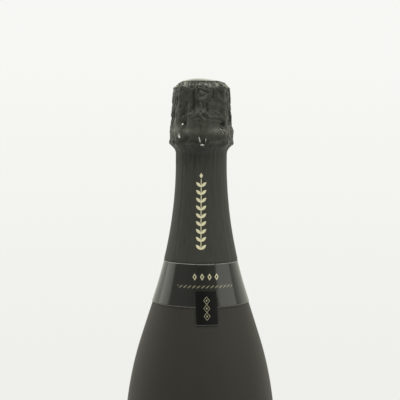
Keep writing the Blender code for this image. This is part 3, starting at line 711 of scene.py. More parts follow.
# The front's dents and bumps: each one's height, place round and up, width and height.
FRONT_DENTS = (
    (-5, -6.6, 313.4, 1.3, 0.55), (-5, -2.9, 313.3, 0.8, 0.45), (-5, -0.2, 313.6, 1.2, 0.5),
    (-5, 3.4, 313.1, 0.7, 0.45), (-5, 18.6, 315.6, 1.2, 0.7), (-5, 13.2, 313.4, 0.8, 0.45),
    (-5, -14.5, 313.6, 0.8, 0.5), (-5, -19.5, 314.6, 0.9, 0.6), (0.5, -11.9, 284.9, 0.55, 1.2),
    (-1.9, -9.8, 292, 0.8, 1.3), (1.3, -10.4, 291.5, 0.5, 0.6), (-3.4, 11.9, 291.7, 0.85, 0.95),
)
# The V that the key's two strands leave where they part from the belt: its corners, round and up.
KEY_ROOT = (-1.5, 284.9, -0.9, 282.6, -0.3, 280.7, 0.5, 279.9, 1.4, 280.8, 2.0, 282.6, 2.4, 284.4)


def arc_place(angle):
    """How far round the foil from the front an angle lies, in millimetres."""
    return np.radians((angle + 180) % 360 - 180) * FOIL_RADIUS


def bell(value, middle, width):
    """1 at a middle value, fading to both sides as a Gaussian curve of this width."""
    return np.exp(-(((value - middle) / width) ** 2))


def ramp(value, start, run):
    """0 before a start and 1 after a run from there, even between. A negative run goes down."""
    return np.clip((value - start) / run, 0, 1)


def walled(outer, inner, around):
    """Points, faces and part numbers of a thin wall between two like grids, rows going up.

    Part 0 is the outside, and part 1 is the inside and the cut edges.
    """
    rows, columns = outer.shape[:2]
    grid = np.arange(rows * columns).reshape(rows, columns)
    far, near = (np.roll(grid, -1, axis=1), grid) if around else (grid[:, 1:], grid[:, :-1])
    behind = rows * columns
    quads = cover(rows, columns, around)
    low = beside(near[0], near[0] + behind, far[0] + behind, far[0])
    edges = [(near[-1], far[-1])]
    if not around:
        edges += [(line[:-1], line[1:]) for line in (grid[:, 0], grid[::-1, -1])]
    sides = [beside(start, end, end + behind, start + behind) for start, end in edges]
    faces = np.concatenate([quads, quads[:, ::-1] + behind, low, *sides])
    parts = (np.arange(len(faces)) >= len(quads)).astype(np.int32)
    return np.concatenate([outer.reshape(-1, 3), inner.reshape(-1, 3)]), faces.tolist(), parts


def crease(across, up, route, width):
    """How near a foil's points lie to a bent line: 1 on it, and falling in a curve to 0."""
    route = np.reshape(route, (-1, 2))
    nearest = np.inf
    for start, run in zip(route, np.diff(route, axis=0)):
        along = (across - start[0]) * run[0] + (up - start[1]) * run[1]
        share = np.clip(along / (run @ run), 0, 1)
        away = np.hypot(across - start[0] - share * run[0], up - start[1] - share * run[1])
        nearest = np.minimum(nearest, away)
    return np.clip(1 - nearest / width, 0, 1) ** 1.6


def dent(across, up, place, wide, tall):
    """A smooth spot: 1 at its place, and fading over its width and height."""
    return np.exp(-(((across - place[0]) / wide) ** 2) - ((up - place[1]) / tall) ** 2)


def off_leg(angle):
    """How far round the foil the nearest of the four legs is."""
    return np.radians(np.abs(angle % 90 - LEG_ANGLES[0])) * FOIL_RADIUS


def leg_ridge(angle, up):
    """How far the foil stands off over the legs: most at the glass ring and at the cork's edge."""
    return np.interp(up, *np.transpose(LEG_RISE)) * bell(off_leg(angle), 0, LEG_RIDGE_WIDTH)


def key_ridge(across, up, reach):
    """The foil over the key: a flat facet on the loop, its outline, and the strands' V below."""
    facet = KEY_FACET / np.cos(np.minimum(np.abs(across), 3.9) / FOIL_RADIUS) - reach + 0.25
    sides = 1 / (1 + np.exp((np.abs(across) - 6.0) / 1.4))
    swelling = facet * sides / (1 + np.exp((up - KEY_TOP) / 1.5))
    swelling = swelling + 0.35 * dent(across, np.maximum(up, KEY_FOOT), (0, KEY_FOOT), 1.5, 1.6)
    loop = crease(across, up, loop_path[:, [0, 2]], 0.9) * 0.15
    strands_low = crease(across, up, KEY_ROOT, 0.7)
    bead = dent(across, up, (0.45, 279.9), 0.8, 0.6)
    hollow = dent(across, up, (0.6, 282.4), 0.8, 1.0)
    return swelling + loop + 0.55 * strands_low + 0.5 * bead - 0.3 * hollow


def front_folds(across, up):
    """Folds, pleats, pits and dents pressed into the front of the hood by hand."""
    total = sum(
        height * crease(across, up, route, width) for height, width, *route in FRONT_FOLDS
    )
    for height, *place, wide, tall in FRONT_DENTS:
        total = total + height * dent(across, up, place, wide, tall)
    return total


def other_folds(across, up, seed):
    """Folds like those in front, strewn over the sides and the back: zigzag lines mostly down."""
    chance = np.random.default_rng(seed)
    total = 0
    for middle in np.concatenate([np.arange(-49, -21, 3.4), np.arange(23, 50, 3.4)]):
        downs = 312 - np.cumsum(chance.uniform(1.5, 4.5, 5))
        asides = middle + chance.uniform(-1.2, 1.2, 5)
        height = chance.choice([-1, 1]) * chance.uniform(0.45, 0.9)
        route = beside(asides, downs)
        total = total + height * crease(across, up, route, chance.uniform(0.8, 1.8))
    return total


def hood_relief(angle, up, points):
    """The foil's height over its plain round form, and the share of it that folds alone would give.

    Inward it bends only as far as there is room, with a hyperbolic tangent, because it lies on
    the glass ring and the cork. Outward it is held in the same way, most at the sides. The
    chamfer's pleats fan out from the top.
    """
    across = arc_place(angle)
    slope = ramp(up, CHAMFER_FOOT, 1.2) * ramp(up, TURNED_IN, -1.5)
    drift = ripple(points, 9, 27)
    pleats = 0.1 * (0.7 + drift)
    for count, height, shift in ((15, 0.55, 0.4), (22, 0.50, 1.9), (31, 0.30, 3.1)):
        wave = np.abs(np.sin(count * np.radians(angle) + shift + 1.3 * drift))
        pleats = pleats + height * (0.6 - wave)
    pleats = 0.75 * pleats + ripple(points, 2.2, 24, creased=True) * 0.38
    pleats = pleats + ripple(points * (1, 1, 1.9), 1.7, 25, creased=True) * 0.3
    tall = points * (1, 1, 0.55)
    crumple = ripple(points, 12, 31) * 0.22 + ripple(tall, 6, 33, creased=True) * 0.26
    crumple = crumple + ripple(points, 2.8, 35, creased=True) * 0.09
    crumple = crumple + 0.12 * bell(up, CHAMFER_FOOT + 1.2, 0.6) * (0.6 + 2 * drift)
    lower = ramp(up, 279.3, 0.6)
    lower = lower * (1 + 1.3 * ramp(np.abs(across), 13.6, 4) * ramp(up, 311, -3))
    folds = front_folds(across, up) + other_folds(across, up, 41)
    total = crumple * lower + folds + slope * pleats
    proud = np.interp(np.abs(across), (18, 23), (2.5, 0.5)) + 0.7 * slope
    total = np.where(total > 0, proud * np.tanh(total / proud), total)
    on_key = np.exp(-((across / 6) ** 4) - ((up - KEY_MIDDLE) / 6.5) ** 4)
    room = np.interp(up, *np.transpose(ROOM))
    room = room * (1 - 0.85 * bell(off_leg(angle), 0, 1.8)) * (1 - 0.85 * on_key)
    flat = ramp(up, TURNED_IN, -1.2)
    pressed = flat * np.where(total < 0, -room * np.tanh(-total / room), total)
    raised = leg_ridge(angle, up) + key_ridge(across, up, np.hypot(*points.T[:2]).T)
    return pressed + raised, flat * total


def mark_painted_shading(piece, painted_tone):
    """Stores on a walled foil the painted light and shade of each of its points, for the material
    to read.
    """
    painted_shading = piece.data.attributes.new("painted_shading", "FLOAT", "POINT")
    painted_shading.data.foreach_set("value", np.tile(painted_tone.ravel(), 2))


# The lacquer's colour, from painted shade in the folds' valleys to painted highlight and wear on
# their ridges.
LACQUER_SHADE_TO_HIGHLIGHT = ((0.005, 0.005, 0.004), (0.33, 0.335, 0.29))
# Where the lacquer is rubbed off to the aluminium, whitened to stand also as painted glints: each
# spot's place round and up, half width, half height, lean.
RUBBED_GLINT_SPOTS = (
    (-11.9, 284.7, 0.38, 1.1, 0), (-10.5, 291.3, 0.3, 0.5, 0), (0.42, 279.8, 0.72, 0.45, 0),
    (-0.85, 282.5, 0.24, 1.4, -0.22), (2.05, 282.4, 0.11, 1.0, 0.1), (10.4, 288.6, 0.13, 0.6, -0.6),
    (12.0, 288.0, 0.12, 0.6, -0.5), (11.4, 286.7, 0.11, 0.4, -0.5), (40.3, 284.9, 0.36, 0.9, 0.1),
    (-40.6, 286.0, 0.34, 0.9, 0), (38.5, 291.6, 0.25, 0.45, 0), (-39.8, 291.2, 0.2, 0.4, 0.2),
)
# Patches of painted light and shade: each patch's place, width, height and how much paler.
PAINTED_LIGHT_PATCHES = (
    (-10.5, 306, 3.5, 7, 0.05), (-7, 288.5, 8, 3, 0.06), (15, 314.5, 3, 3.5, -0.08),
    (20.5, 297, 6.5, 15, -0.06),
)


def dress_foil(nodes):
    """Black lacquer on foil, satin, with hair creases and small facets where it is crumpled.

    Painted light and shade, which the mesh's attribute holds, make the folds' ridges paler and
    glossier than their valleys, as wear and as painted highlight. At the tips of the wires' relief
    it is rubbed down to the aluminium in spots, whitened to stand also as painted glints.
    """
    facets = nodes.cells(1.6, "F1")
    hair = (nodes.cells(3.4, "DISTANCE_TO_EDGE", stretch=(1, 1, 0.6)) - 0.03).inside(0.05)
    fine = nodes.noise(0.7, detail=3)
    worn = nodes.noise(5, detail=3)
    around = nodes.angle * FOIL_RADIUS
    bare = 9.0
    for place, height, wide, tall, lean in RUBBED_GLINT_SPOTS:
        above = nodes.z - height
        spot = (((around - place - above * lean) / wide) ** 2 + (above / tall) ** 2) ** 0.5 - 1
        bare = spot & bare
    rubbed_glints = (bare + (fine - 0.5) * 2).inside(0.8)
    painted_shading = nodes.stored("painted_shading")
    # Painted light and shade: the stored share turns the lacquer from dark in hollows to pale on
    # ridges.
    lacquer = nodes.mix(painted_shading + worn * 0.02, *LACQUER_SHADE_TO_HIGHLIGHT)
    return {
        # The rubbed spots' pale bare metal, which also serves as painted glints.
        "Base Color": nodes.mix(rubbed_glints, lacquer, (0.8, 0.8, 0.78)),
        "Roughness": 0.34 + worn * 0.14 - painted_shading * 0.35,
        "Metallic": rubbed_glints * 0.8,
        "Specular IOR Level": 0.34,
        "Normal": nodes.bump(facets * 0.05 + fine * 0.035 - hair * 0.03),
    }


def dress_bare_foil(nodes):
    """Bare aluminium, dull, with fine lines from rolling."""
    fine = nodes.noise(0.8, detail=3, stretch=(1, 1, 0.2))
    return {
        "Base Color": nodes.mix(fine, (0.62, 0.62, 0.63), (0.78, 0.78, 0.79)),
        "Roughness": 0.32 + fine * 0.15,
        "Metallic": 1.0,
        "Normal": nodes.bump(fine * 0.03),
    }


black_foil = finish("black_lacquered_foil", dress_foil)
bare_foil = finish("bare_aluminium", dress_bare_foil)
hood_line = smooth_path(hood_knots, HOOD_ROWS)
hood_reach, hood_height = hood_line.T[..., None]
widening, rising = unit(np.gradient(hood_line, axis=0)).T[..., None]
hood_up = TEAR_LINE + distance_along(hood_line)[:, None]
hood_angles = even_angles(HOOD_COLUMNS)
plain_hood = turn(hood_reach, hood_angles, hood_height)
relief, folding = hood_relief(hood_angles, hood_up, plain_hood)
outer = turn(hood_reach + rising * relief, hood_angles, hood_height - widening * relief)
inner = outer - turn(rising * FOIL, hood_angles, -widening * FOIL)
hood = make_piece(
    "crinkled_hood", "hood", "hood_foil", "foil", [black_foil, bare_foil],
    *walled(outer, inner, True),
)
# Painted light and shade for the foil's material: paler on the folds' ridges and darker in their
# valleys and deepest folds, a speckled painted highlight on the chamfer that faces the top lamp,
# bands of painted highlight at the glass ring's edge and over the key, painted shade under the
# turned-in top, and patches of painted light and shade.
chamfered = bell(hood_up, 314.6, 1.9)
painted_highlight_rows = bell(hood_up, KEY_MIDDLE, 4.5) * 0.22 + bell(hood_up, 287.5, 1.6) * 0.22
bright = 0.5 + (folding - folding.mean(axis=1, keepdims=True)) * (0.6 + 1.4 * chamfered)
bright = bright + chamfered * ripple(plain_hood * (1, 1, 1.5), 1.3, 61, creased=True) * 0.95
bright = bright + (painted_highlight_rows + 0.5 * chamfered - ramp(hood_up, 316.8, 0.5) * 0.25)
painted_tone = np.where(folding < -2.2, folding + 2.2, np.clip(bright, 0, 2.2) ** 1.9 * 0.25)
for *place, wide, tall, paler in PAINTED_LIGHT_PATCHES:
    painted_tone = painted_tone + paler * dent(arc_place(hood_angles), hood_up, place, wide, tall)
mark_painted_shading(hood, painted_tone)

# Top disc
# A separate disc of the same foil, drawn to a low dome and welded on the hood's turned-in top. It
# carries a gold flower in rings.
disc_high = corners("hood_top_disc")[1]
DISC_RADIUS = disc_high[0] - 0.4
DISC_RIM = 0.11
CROWN_ASIDE = 1.7
DISC_COLUMNS = 180


def dress_disc(nodes):
    """The hood's lacquer, smoother, with a printed gold flower and a gold line at the rim."""
    gold = rosette(nodes, nodes.x, nodes.y, 6.4) | (abs(nodes.reach - 10.6) - 0.14).inside(0.06)
    fine = nodes.noise(0.9, detail=3)
    return {
        "Base Color": nodes.mix(gold, (0.052, 0.052, 0.046), (0.72, 0.63, 0.42)),
        "Roughness": 0.06 + fine * 0.05,
        "Specular IOR Level": 1.0,
        "Coat Weight": 1.0,
        "Coat Roughness": 0.05,
        "Metallic": gold * 0.5,
        "Normal": nodes.bump(fine * 0.012 + nodes.noise(6) * 0.08),
    }


# The dome is a parabola, whose middle is then moved aside.
shares = np.linspace(0, 1, 48)
rim_height = HOOD_TOP + 0.02 + DISC_RIM
dome_rise = disc_high[2] - rim_height - DISC_RIM
dome = beside((DISC_RADIUS - DISC_RIM) * shares, disc_high[2] - dome_rise * shares**2)
rim = bend(DISC_RADIUS - DISC_RIM, rim_height, DISC_RIM, -80, 80, 8)
disc_profile = np.concatenate([dome - (0, 2 * DISC_RIM), rim, dome[::-1]])
points, faces = closed_round(disc_profile, DISC_COLUMNS)
from_rim = np.clip(1 - (points[:, 0] ** 2 + points[:, 1] ** 2) / DISC_RADIUS**2, 0, 1)
points[:, 0] -= CROWN_ASIDE * from_rim
make_piece(
    "hood_lid", "hood", "hood_top_disc", "foil", [finish("black_lid_foil", dress_disc)],
    points, faces,
)

# Tear tab
# A tongue of the hood's foil at the back, doubled and ribbed for the fingers. Pulled down, it
# starts the tear round the hood's lower edge.
TAB_COLUMNS, TAB_ROWS = 24, 40
TAB_RIB_PITCH, TAB_RIB_HEIGHT = 0.9, 0.05
tab_low, tab_high = corners("tear_tab")
tab_half = tab_high[0]
tab_straight = tab_high[2] - tab_low[2] - tab_half


def eased(count):
    """Numbers from -1 to 1, closer together towards both ends: the sines of even angles."""
    return np.sin(np.linspace(-np.pi / 2, np.pi / 2, count))


aside = eased(TAB_COLUMNS) * 0.999
rise = np.linspace(0, 1, TAB_ROWS)[:, None] * (tab_straight + tab_half * np.sqrt(1 - aside**2))
ribs = TAB_RIB_HEIGHT * np.cos(rise * 2 * np.pi / TAB_RIB_PITCH)
ribs = ribs * ramp(rise, 2, 0.5) * ramp(rise, 8, -0.5)
tab_face = beside(-aside * tab_half, tab_high[1] - TAB_RIB_HEIGHT + ribs, tab_low[2] + rise)
tab_depth = tab_high[1] - tab_low[1] - 2 * TAB_RIB_HEIGHT
make_piece(
    "tear_tongue", "tab", "tear_tab", "foil", [black_foil, bare_foil],
    *walled(tab_face, tab_face - (0, tab_depth, 0), False),
)

# Neck foil
# The lower part of the capsule, smooth and matt, drawn tight on the neck down to the shoulder. It
# stays when the hood is torn off, and carries a gold sprig of leaves up the front.
FLARE_HEIGHT = 5.4
SLEEVE_COLUMNS, SLEEVE_ROWS = 240, 120
SLEEVE_GAP = 0.6
SPRIG_BOTTOM, SPRIG_TOP = 220.6, 260.2
LEAF_PITCH = 4.4
TUCKS_MIDDLE = 272.5
# Seams of the rolled foil: each one's depth and width, and the corners of its line, round and up.
SEAMS = (
    (1, 0.7, -13.6, 280, -13.3, 250, -13.7, 213), (-1, 0.7, 14.9, 280, 14.6, 246, 15.1, 213),
    (0.6, 0.6, 7.7, 279, 7.4, 262, 7.9, 240),
)
# Pleats under the hood's edge: each one's place, lowest and highest point, and lean.
NECK_PLEATS = (
    (-11.6, 269, 279, 0.9), (-9.8, 266, 279, 0.5), (-8.1, 270, 279, 1.3), (-13.3, 271, 279, 0.2),
)


def sprig(nodes, across, up):
    """A straight stem with pairs of pointed leaves, as a mask. A leaf is a lens on the slant."""
    step = (up - SPRIG_BOTTOM) % LEAF_PITCH
    along = abs(across) * 0.72 + step * 0.69
    beside_leaf = step * 0.72 - abs(across) * 0.69
    share = (along - 2.05) / 1.95
    leaf = abs(beside_leaf) - 0.82 * (1 - share**2)
    stem = abs(across) - 0.22
    span = abs(up - (SPRIG_BOTTOM + SPRIG_TOP) / 2) - (SPRIG_TOP - SPRIG_BOTTOM) / 2
    bud = (abs(across) * 0.8 + abs(up - SPRIG_TOP - 2.1) * 0.5) - 0.8
    return ((leaf & stem) | span).inside(0.12) | bud.inside(0.12)


def dress_sleeve(nodes):
    """Matt black lacquer with painted light and shade on its folds, hair lines down it, and the
    printed sprig.
    """
    gold = sprig(nodes, nodes.angle * nodes.reach, nodes.z)
    lines = nodes.noise(1.4, detail=3, stretch=(1, 1, 0.08))
    fine = nodes.noise(0.4, detail=3)
    # Painted light and shade, stored on the mesh, lighten raised folds and darken hollows.
    share = lines * 0.35 + fine * 0.15 + nodes.stored("painted_shading") * 0.5
    black = nodes.mix(share, (0.012, 0.012, 0.011), (0.080, 0.080, 0.072))
    return {
        "Base Color": nodes.mix(gold, black, (0.90, 0.84, 0.60)),
        "Roughness": 0.56 + fine * 0.08 - gold * 0.15,
        "Specular IOR Level": 0.3,
        "Metallic": gold * 0.25,
        "Normal": nodes.bump(lines * 0.05 + fine * 0.02),
    }


angles = even_angles(SLEEVE_COLUMNS)
across = arc_place(angles)
sleeve_bottom, sleeve_top = corners("neck_foil")[0, 2], TEAR_LINE - 0.08
heights = np.linspace(0, 1, SLEEVE_ROWS)[:, None] * (sleeve_top - sleeve_bottom) + sleeve_bottom
hood_foot = hood_knots[0][0]
lip = hood_foot + leg_ridge(angles, TEAR_LINE)
lip = lip + key_ridge(across, np.float64(TEAR_LINE), hood_foot)
close = glass_reach(heights) + SLEEVE_GAP - 0.2 * ramp(heights, sleeve_bottom + 0.8, -0.8)
flare = ramp(heights, sleeve_top - FLARE_HEIGHT, FLARE_HEIGHT) ** 2.4
plain_sleeve = turn(close, angles, heights)
tucks = ripple(plain_sleeve * (1, 1, 0.06), 2.6, 51, creased=True) * 0.2
tucks = tucks * bell(heights, TUCKS_MIDDLE, 7) * (1 - flare)
# A dent under the key's bump; the sleeve's painted shadow darkens it too.
below_key = 0.7 * dent(across, heights, (0.6, 277.5), 0.9, 0.8)
seams = sum(depth * crease(across, heights, route, width) for depth, width, *route in SEAMS)
pleats = sum(
    crease(across, heights, (place, low, place + lean, high), 0.75)
    for place, low, high, lean in NECK_PLEATS
)
pressed = tucks - seams * 0.2 - pleats * 0.25 + ripple(plain_sleeve * (1, 1, 0.3), 3.5, 54) * 0.03
reach = close + (lip - close) * flare + pressed - below_key + ripple(plain_sleeve, 16, 52) * 0.03
sleeve = make_piece(
    "neck_sleeve", "bottle", "neck_foil", "foil",
    [finish("matt_black_foil", dress_sleeve), bare_foil],
    *walled(turn(reach, angles, heights), turn(reach - FOIL, angles, heights), True),
)
# Painted light and shade for the sleeve's material: paler on raised tucks, darker in seams and
# pleats, a painted shadow under the key's bump, and painted shade under the hood's edge in front.
painted_shade = 0.45 * dent(across, heights, (-1.0, 277.0), 7.5, 6.5) + 0.5 * pleats
mark_painted_shading(sleeve, np.clip(0.5 + pressed * 2.2 - below_key - painted_shade, 0, 1))

# Collar label
# Gloss black paper glued round the shoulder just under the foil, cut in one piece with a tongue in
# front. Its cut edges show the grey paper, painted paler as a highlight too, and it carries gold
# ornament and a deep black panel.
PAPER = 0.2
PAPER_GAP = 0.3
TONGUE_TURN = 7.0
TONGUE_WIDTH = 12.7
TONGUE_CORNER = 1.3
TONGUE_TOP = 198.0
COLLAR_BOTTOM = 189.0
CUT_EDGE = 0.28
TONGUE_COLUMNS, BAND_COLUMNS, COLLAR_ROWS = 41, 240, 40
LOZENGE_ROW, LOZENGE_PITCH, LOZENGES_HALF = 205.6, 4.2, 8.3
LEAF_ROW, LEAF_STEP, LEAVES_HALF = 200.2, 2.6, 16.9
PANEL_MIDDLE, DIAMONDS_HALF = 188.6, 6.3
tongue_low, collar_top = corners("collar_label")[:, 2]


def paper_sheet(angles, bottoms, tops, rows, around=False):
    """A sheet of paper bent round the glass between two lines of heights, outside and inside."""
    heights = bottoms + (tops - bottoms) * np.linspace(0, 1, rows)[:, None]
    reach = glass_reach(heights) + PAPER_GAP
    return walled(turn(reach + PAPER, angles, heights), turn(reach, angles, heights), around)


def rounded(share, half_width, corner):
    """How far an edge is cut back by an arc at its two corners, at shares of its half width."""
    past = np.clip((np.abs(share) - 1) * half_width + corner, 0, None)
    return corner - np.sqrt(corner**2 - past**2)


def collar_places(nodes):
    """On the collar: the way along from the tongue's middle, the tongue, and the way in."""
    along = (nodes.angle - np.radians(TONGUE_TURN)) * nodes.reach
    on_tongue = ((abs(along) - TONGUE_WIDTH / 2) & (nodes.z - COLLAR_BOTTOM + 0.3)).inside(0.02)
    from_side = TONGUE_WIDTH / 2 - abs(along)
    edge_in = (nodes.z - COLLAR_BOTTOM) | (from_side & (nodes.z - tongue_low))
    return along, on_tongue, from_side, edge_in & (collar_top - nodes.z)


def dress_collar(nodes):
    """Gloss black print: lozenges over a row of leaves, diamonds on a blacker panel, pale edges
    with painted highlight.
    """
    along, on_tongue, from_side, edge_in = collar_places(nodes)
    up = nodes.z
    panel = (0.16 - (from_side & (TONGUE_TOP - up) & (up - tongue_low))).inside(0.1)
    lozenge = abs((along + 2 * LOZENGE_PITCH) % LOZENGE_PITCH - LOZENGE_PITCH / 2)
    lozenge = lozenge + abs(up - LOZENGE_ROW) * 0.62
    lozenges = ((lozenge - 1.18) | (0.55 - lozenge) | (abs(along) - LOZENGES_HALF)).inside(0.1)
    low_row = up - LEAF_ROW
    leaf_at = (along + 16) % LEAF_STEP - LEAF_STEP / 2
    leaf = 0.36 * (1 - ((leaf_at * 0.8 + low_row * 0.55) / 1.5) ** 2)
    leaf = abs(low_row * 0.8 - leaf_at * 0.55) - leaf
    leaves = (leaf | (abs(along) - LEAVES_HALF)).inside(0.12) * 0.32
    rise = up - PANEL_MIDDLE
    diamond = abs(along) * 0.78 + abs((rise + 10.5) % 4.2 - 2.1) * 0.62
    thin = (abs(diamond - 1.3) - 0.13) & (diamond - 0.42)
    thin = (thin | (abs(rise) - DIAMONDS_HALF)).inside(0.1) * 0.6
    gold = lozenges | leaves | thin
    wavering = nodes.noise(1.1, detail=2)
    # The pale cut edges show the grey paper and are also a painted highlight where the edges catch
    # light: palest along the top edge, dimmer on the tongue.
    top_edge = (collar_top - up - 0.5).inside(0.2)
    pale = (0.45 + wavering) * (0.45 + top_edge * 0.55 - on_tongue * 0.4)
    cut = (edge_in - CUT_EDGE * (0.55 + wavering) + on_tongue * 0.22).inside(0.1) * pale
    fine = nodes.noise(0.5, detail=3)
    black = nodes.mix(panel, (0.019, 0.0195, 0.0185), (0.002, 0.002, 0.002))
    printed = nodes.mix(gold, black, (0.70, 0.66, 0.47))
    return {
        "Base Color": nodes.mix(cut, printed, (0.30, 0.30, 0.28)),
        "Roughness": 0.13 + fine * 0.04 + gold * 0.2 + cut * 0.4,
        "Specular IOR Level": 0.7,
        "Metallic": gold * 0.25,
        "Normal": nodes.bump(nodes.noise(16, detail=1) * 0.12 + fine * 0.002),
    }


def dress_bare_paper(nodes):
    """The paper's grey back and cut edge, with short fibres."""
    fibres = nodes.noise(0.3, detail=4, stretch=(1, 1, 2))
    return {
        "Base Color": nodes.mix(fibres, (0.24, 0.24, 0.22), (0.34, 0.335, 0.31)),
        "Roughness": 0.9,
        "Normal": nodes.bump(fibres * 0.02),
    }


bare_paper = finish("bare_paper", dress_bare_paper)
half = np.degrees(TONGUE_WIDTH / 2 / glass_reach(COLLAR_BOTTOM))
tongue_share = eased(TONGUE_COLUMNS)
tongue_line = tongue_low + rounded(tongue_share, TONGUE_WIDTH / 2, TONGUE_CORNER)
band_ends = (TONGUE_TURN + half + 0.2, TONGUE_TURN - half - 0.2 + 360)
band_angles = np.linspace(*band_ends, BAND_COLUMNS)
collar_angles = np.concatenate([TONGUE_TURN + half * tongue_share, band_angles])
collar_line = np.concatenate([tongue_line, np.full(BAND_COLUMNS, COLLAR_BOTTOM)])
make_piece(
    "collar_paper", "bottle", "collar_label", "gloss_paper",
    [finish("gloss_black_paper", dress_collar), bare_paper],
    *paper_sheet(collar_angles, collar_line, collar_top, COLLAR_ROWS, True),
)

# Front and back labels
# Matt black laid paper glued on the body. The front one has a gold frame with a flower and rows of
# small ornament, and the back one a plainer frame with thin rules.
FRONT_HALF_WIDTH, BACK_HALF_WIDTH = 48.0, 32.0
LABEL_CORNER = 2.5
LABEL_COLUMNS, LABEL_ROWS = 121, 30


def framed(across, up, half_width, half_height, gap, width):
    """A thin frame this far in from a sheet's sides, as a mask."""
    beyond = (abs(across) - (half_width - gap)) | (abs(up) - (half_height - gap))
    return (abs(beyond) - width / 2).inside(0.12)


def rule(across, up, height, half_length, width):
    """A thin level line, as a mask."""
    return ((abs(up - height) - width / 2) | (abs(across) - half_length)).inside(0.12)


def beads(across, up, height, half_length, pitch, size):
    """A level row of dots, as a mask."""
    step = (across + pitch / 2) % pitch - pitch / 2
    dots = (step**2 + (up - height) ** 2) ** 0.5 - size
    return (dots | (abs(across) - half_length)).inside(0.12)


def dress_label(nodes, gold):
    """Matt black print on laid paper, whose fine ribs show, with gold where the mask is 1."""
    ribs = (nodes.z * (2 * np.pi / 0.9)).math("SINE")
    fibres = nodes.noise(0.5, detail=4)
    black = nodes.mix(fibres, (0.022, 0.0215, 0.0205), (0.033, 0.032, 0.0305))
    return {
        "Base Color": nodes.mix(gold, black, (0.68, 0.60, 0.40)),
        "Roughness": 0.62 + fibres * 0.1 - gold * 0.25,
        "Metallic": gold * 0.35,
        "Normal": nodes.bump(ribs * 0.008 + fibres * 0.03 + gold * 0.03),
    }


def from_middle(nodes, node):
    """The height over a label's middle, and half of the label's height."""
    low, high = corners(node)[:, 2]
    return nodes.z - (low + high) / 2, (high - low) / 2


def dress_front(nodes):
    """The front label: two frames, a flower above, and rows of beads between rules below it."""
    across = nodes.angle * nodes.reach
    up, half_height = from_middle(nodes, "front_label")
    gold = framed(across, up, FRONT_HALF_WIDTH, half_height, 2.6, 0.7)
    gold = gold | framed(across, up, FRONT_HALF_WIDTH, half_height, 4.2, 0.25)
    gold = gold | rosette(nodes, across, up - 14, 12.0)
    gold = gold | beads(across, up, -3.5, 24, 4.0, 0.75) | rule(across, up, -7.5, 30, 0.35)
    gold = gold | beads(across, up, -12.5, 32, 8.0, 1.6) | beads(across, up, -12.5, 32, 4.0, 0.45)
    gold = gold | rule(across, up, -17.5, 30, 0.35) | beads(across, up, -22.5, 18, 3.0, 0.5)
    return dress_label(nodes, gold)


def dress_back(nodes):
    """The back label: one frame, a small flower, and rules and beads."""
    across = nodes.x.math("ARCTAN2", nodes.y) * nodes.reach
    up, half_height = from_middle(nodes, "back_label")
    gold = framed(across, up, BACK_HALF_WIDTH, half_height, 2.2, 0.45)
    gold = gold | rosette(nodes, across, up - 17, 6.0)
    for height in (6, 1, -4, -9, -14, -19):
        gold = gold | rule(across, up, height, 22 - abs(height + 4) * 0.3, 0.28)
    return dress_label(nodes, gold | beads(across, up, -24, 12, 3.0, 0.45))


for side, middle, half_width, dress in (
    ("front", 0, FRONT_HALF_WIDTH, dress_front), ("back", 180, BACK_HALF_WIDTH, dress_back)
):
    low, high = corners(side + "_label")[:, 2]
    share = eased(LABEL_COLUMNS)
    cut = rounded(share, half_width, LABEL_CORNER)
    angles = middle + share * np.degrees(half_width / BODY_RADIUS)
    make_piece(
        side + "_paper", "bottle", side + "_label", "matt_paper",
        [finish(side + "_paper_print", dress), bare_paper],
        *paper_sheet(angles, low + cut, high - cut, LABEL_ROWS),
    )

# Studio
# A pale floor that fades out, a pale surround, a soft panel on each side and one above. The
# surround is dimmer in front for what the gloss mirrors, as in a room behind the camera.
FLOOR_RADIUS = 0.50
FLOOR_FADE = 0.22
FLOOR_RINGS, FLOOR_COLUMNS = 12, 96
LAMP_COLOUR = (1, 1, 0.9)
LAMPS_AIM = (0, 0, 0.2)
CAMERA_DISTANCE = 0.620
CAMERA_HEIGHT = 0.2892
CAMERA_PITCH = 3.85
CAMERA_ROLL = 0.28
CAMERA_ASIDE = -0.00085
FRAME_PIXELS = 400
FOCAL_PIXELS = 1069
SENSOR_WIDTH = 36


def panel(name, angle, distance, height, width, tall, radiance):
    """A soft lamp panel at an angle round the bottle, facing it, and as bright all over."""
    data = bpy.data.lights.new(name, "AREA")
    data.shape = "RECTANGLE"
    data.size, data.size_y = width, tall
    data.energy = radiance * np.pi * width * tall
    data.color = LAMP_COLOUR
    lamp = bpy.data.objects.new(name, data)
    bpy.context.scene.collection.objects.link(lamp)
    lamp.location = place = turn(distance, angle, height)
    x, y, z = place - LAMPS_AIM
    lamp.rotation_euler = (np.arctan2(np.hypot(x, y), z), 0, np.arctan2(x, -y))


def dress_floor(nodes):
    """Pale and matt, and see-through towards its edge, by a mix with a clear shader."""
    shader, output = (nodes.tree.nodes[name] for name in ("Principled BSDF", "Material Output"))
    gone = 1 - (nodes.reach * MM - (FLOOR_RADIUS - FLOOR_FADE)).inside(FLOOR_FADE)
    clear = nodes.add("ShaderNodeBsdfTransparent", {}, {})
    inputs = {0: gone, 1: Signal(nodes, shader.outputs[0]), 2: clear}
    faded = nodes.add("ShaderNodeMixShader", {}, inputs)
    nodes.tree.links.new(faded.socket, output.inputs["Surface"])
    return {"Base Color": (0.80, 0.80, 0.86, 1), "Roughness": 0.8}


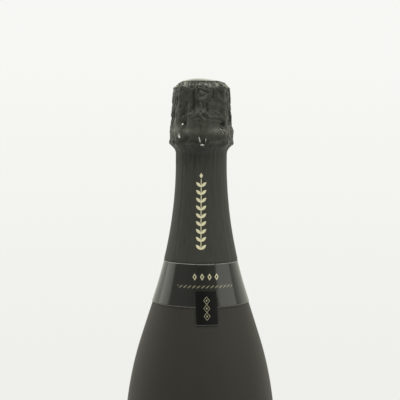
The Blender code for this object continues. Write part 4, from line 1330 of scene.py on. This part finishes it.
def studio_floor():
    """A flat round sheet, in rings that let the fade follow the distance from the bottle."""
    reaches = np.linspace(0.01, FLOOR_RADIUS, FLOOR_RINGS)[:, None] / MM
    rings = turn(reaches, even_angles(FLOOR_COLUMNS), -0.05)
    faces = cover(FLOOR_RINGS, FLOOR_COLUMNS, True)[:, ::-1].tolist()
    mesh = bpy.data.meshes.new("studio_floor")
    mesh.from_pydata((rings.reshape(-1, 3) * MM).tolist(), [], faces + [list(range(FLOOR_COLUMNS))])
    floor = bpy.data.objects.new("studio_floor", mesh)
    bpy.context.scene.collection.objects.link(floor)
    mesh.materials.append(finish("pale_floor", dress_floor))


def surround():
    """Pale for the camera itself. For all else it is dim in front and bright behind and below."""
    world = bpy.data.worlds.new("pale_surround")
    bpy.context.scene.world = world
    world.use_nodes = True
    nodes = Nodes(world.node_tree)

    def share(value, start, end):
        """How far a value has gone from a start to an end."""
        inputs = {"Value": value, "From Min": start, "From Max": end}
        return nodes.add("ShaderNodeMapRange", {}, inputs)

    x, y, z = nodes.axes(nodes.add("ShaderNodeTexCoord", {}, {}, "Generated"))
    seen = nodes.mix(share(z, -0.204, 0.072), (0.863, 0.871, 0.831), (0.93, 0.93, 0.905))
    behind = share(y - (x | 0) * 0.12, -0.1, 0.45)
    front = nodes.mix(share(abs(x), 0.1, 0.7), (0.13, 0.132, 0.115), (0.26, 0.265, 0.235))
    bright = behind * share(z, 0.75, 0.4) | share(z, -0.05, -0.3)
    light = nodes.mix(bright, front, (0.95, 0.955, 0.84))
    direct = nodes.add("ShaderNodeLightPath", {}, {}, "Is Camera Ray")
    background = world.node_tree.nodes["Background"]
    world.node_tree.links.new(nodes.mix(direct, light, seen).socket, background.inputs["Color"])


studio_floor()
surround()
panel("right_panel", 72, 1.2, 0.95, 1.25, 1.1, 1.1)
panel("left_panel", -102, 1.2, 0.85, 0.85, 1.2, 0.85)
panel("top_panel", 0, 0.35, 1.55, 1.5, 1.5, 2.4)

camera_data = bpy.data.cameras.new("camera")
camera_data.sensor_width = SENSOR_WIDTH
camera_data.lens = FOCAL_PIXELS / FRAME_PIXELS * SENSOR_WIDTH
camera = bpy.data.objects.new("camera", camera_data)
camera.location = (CAMERA_ASIDE, -CAMERA_DISTANCE, CAMERA_HEIGHT)
camera.rotation_euler = np.radians((90 - CAMERA_PITCH, -CAMERA_ROLL, 0))
bpy.context.scene.collection.objects.link(camera)
bpy.context.scene.camera = camera
bpy.context.scene.view_settings.view_transform = "Standard"
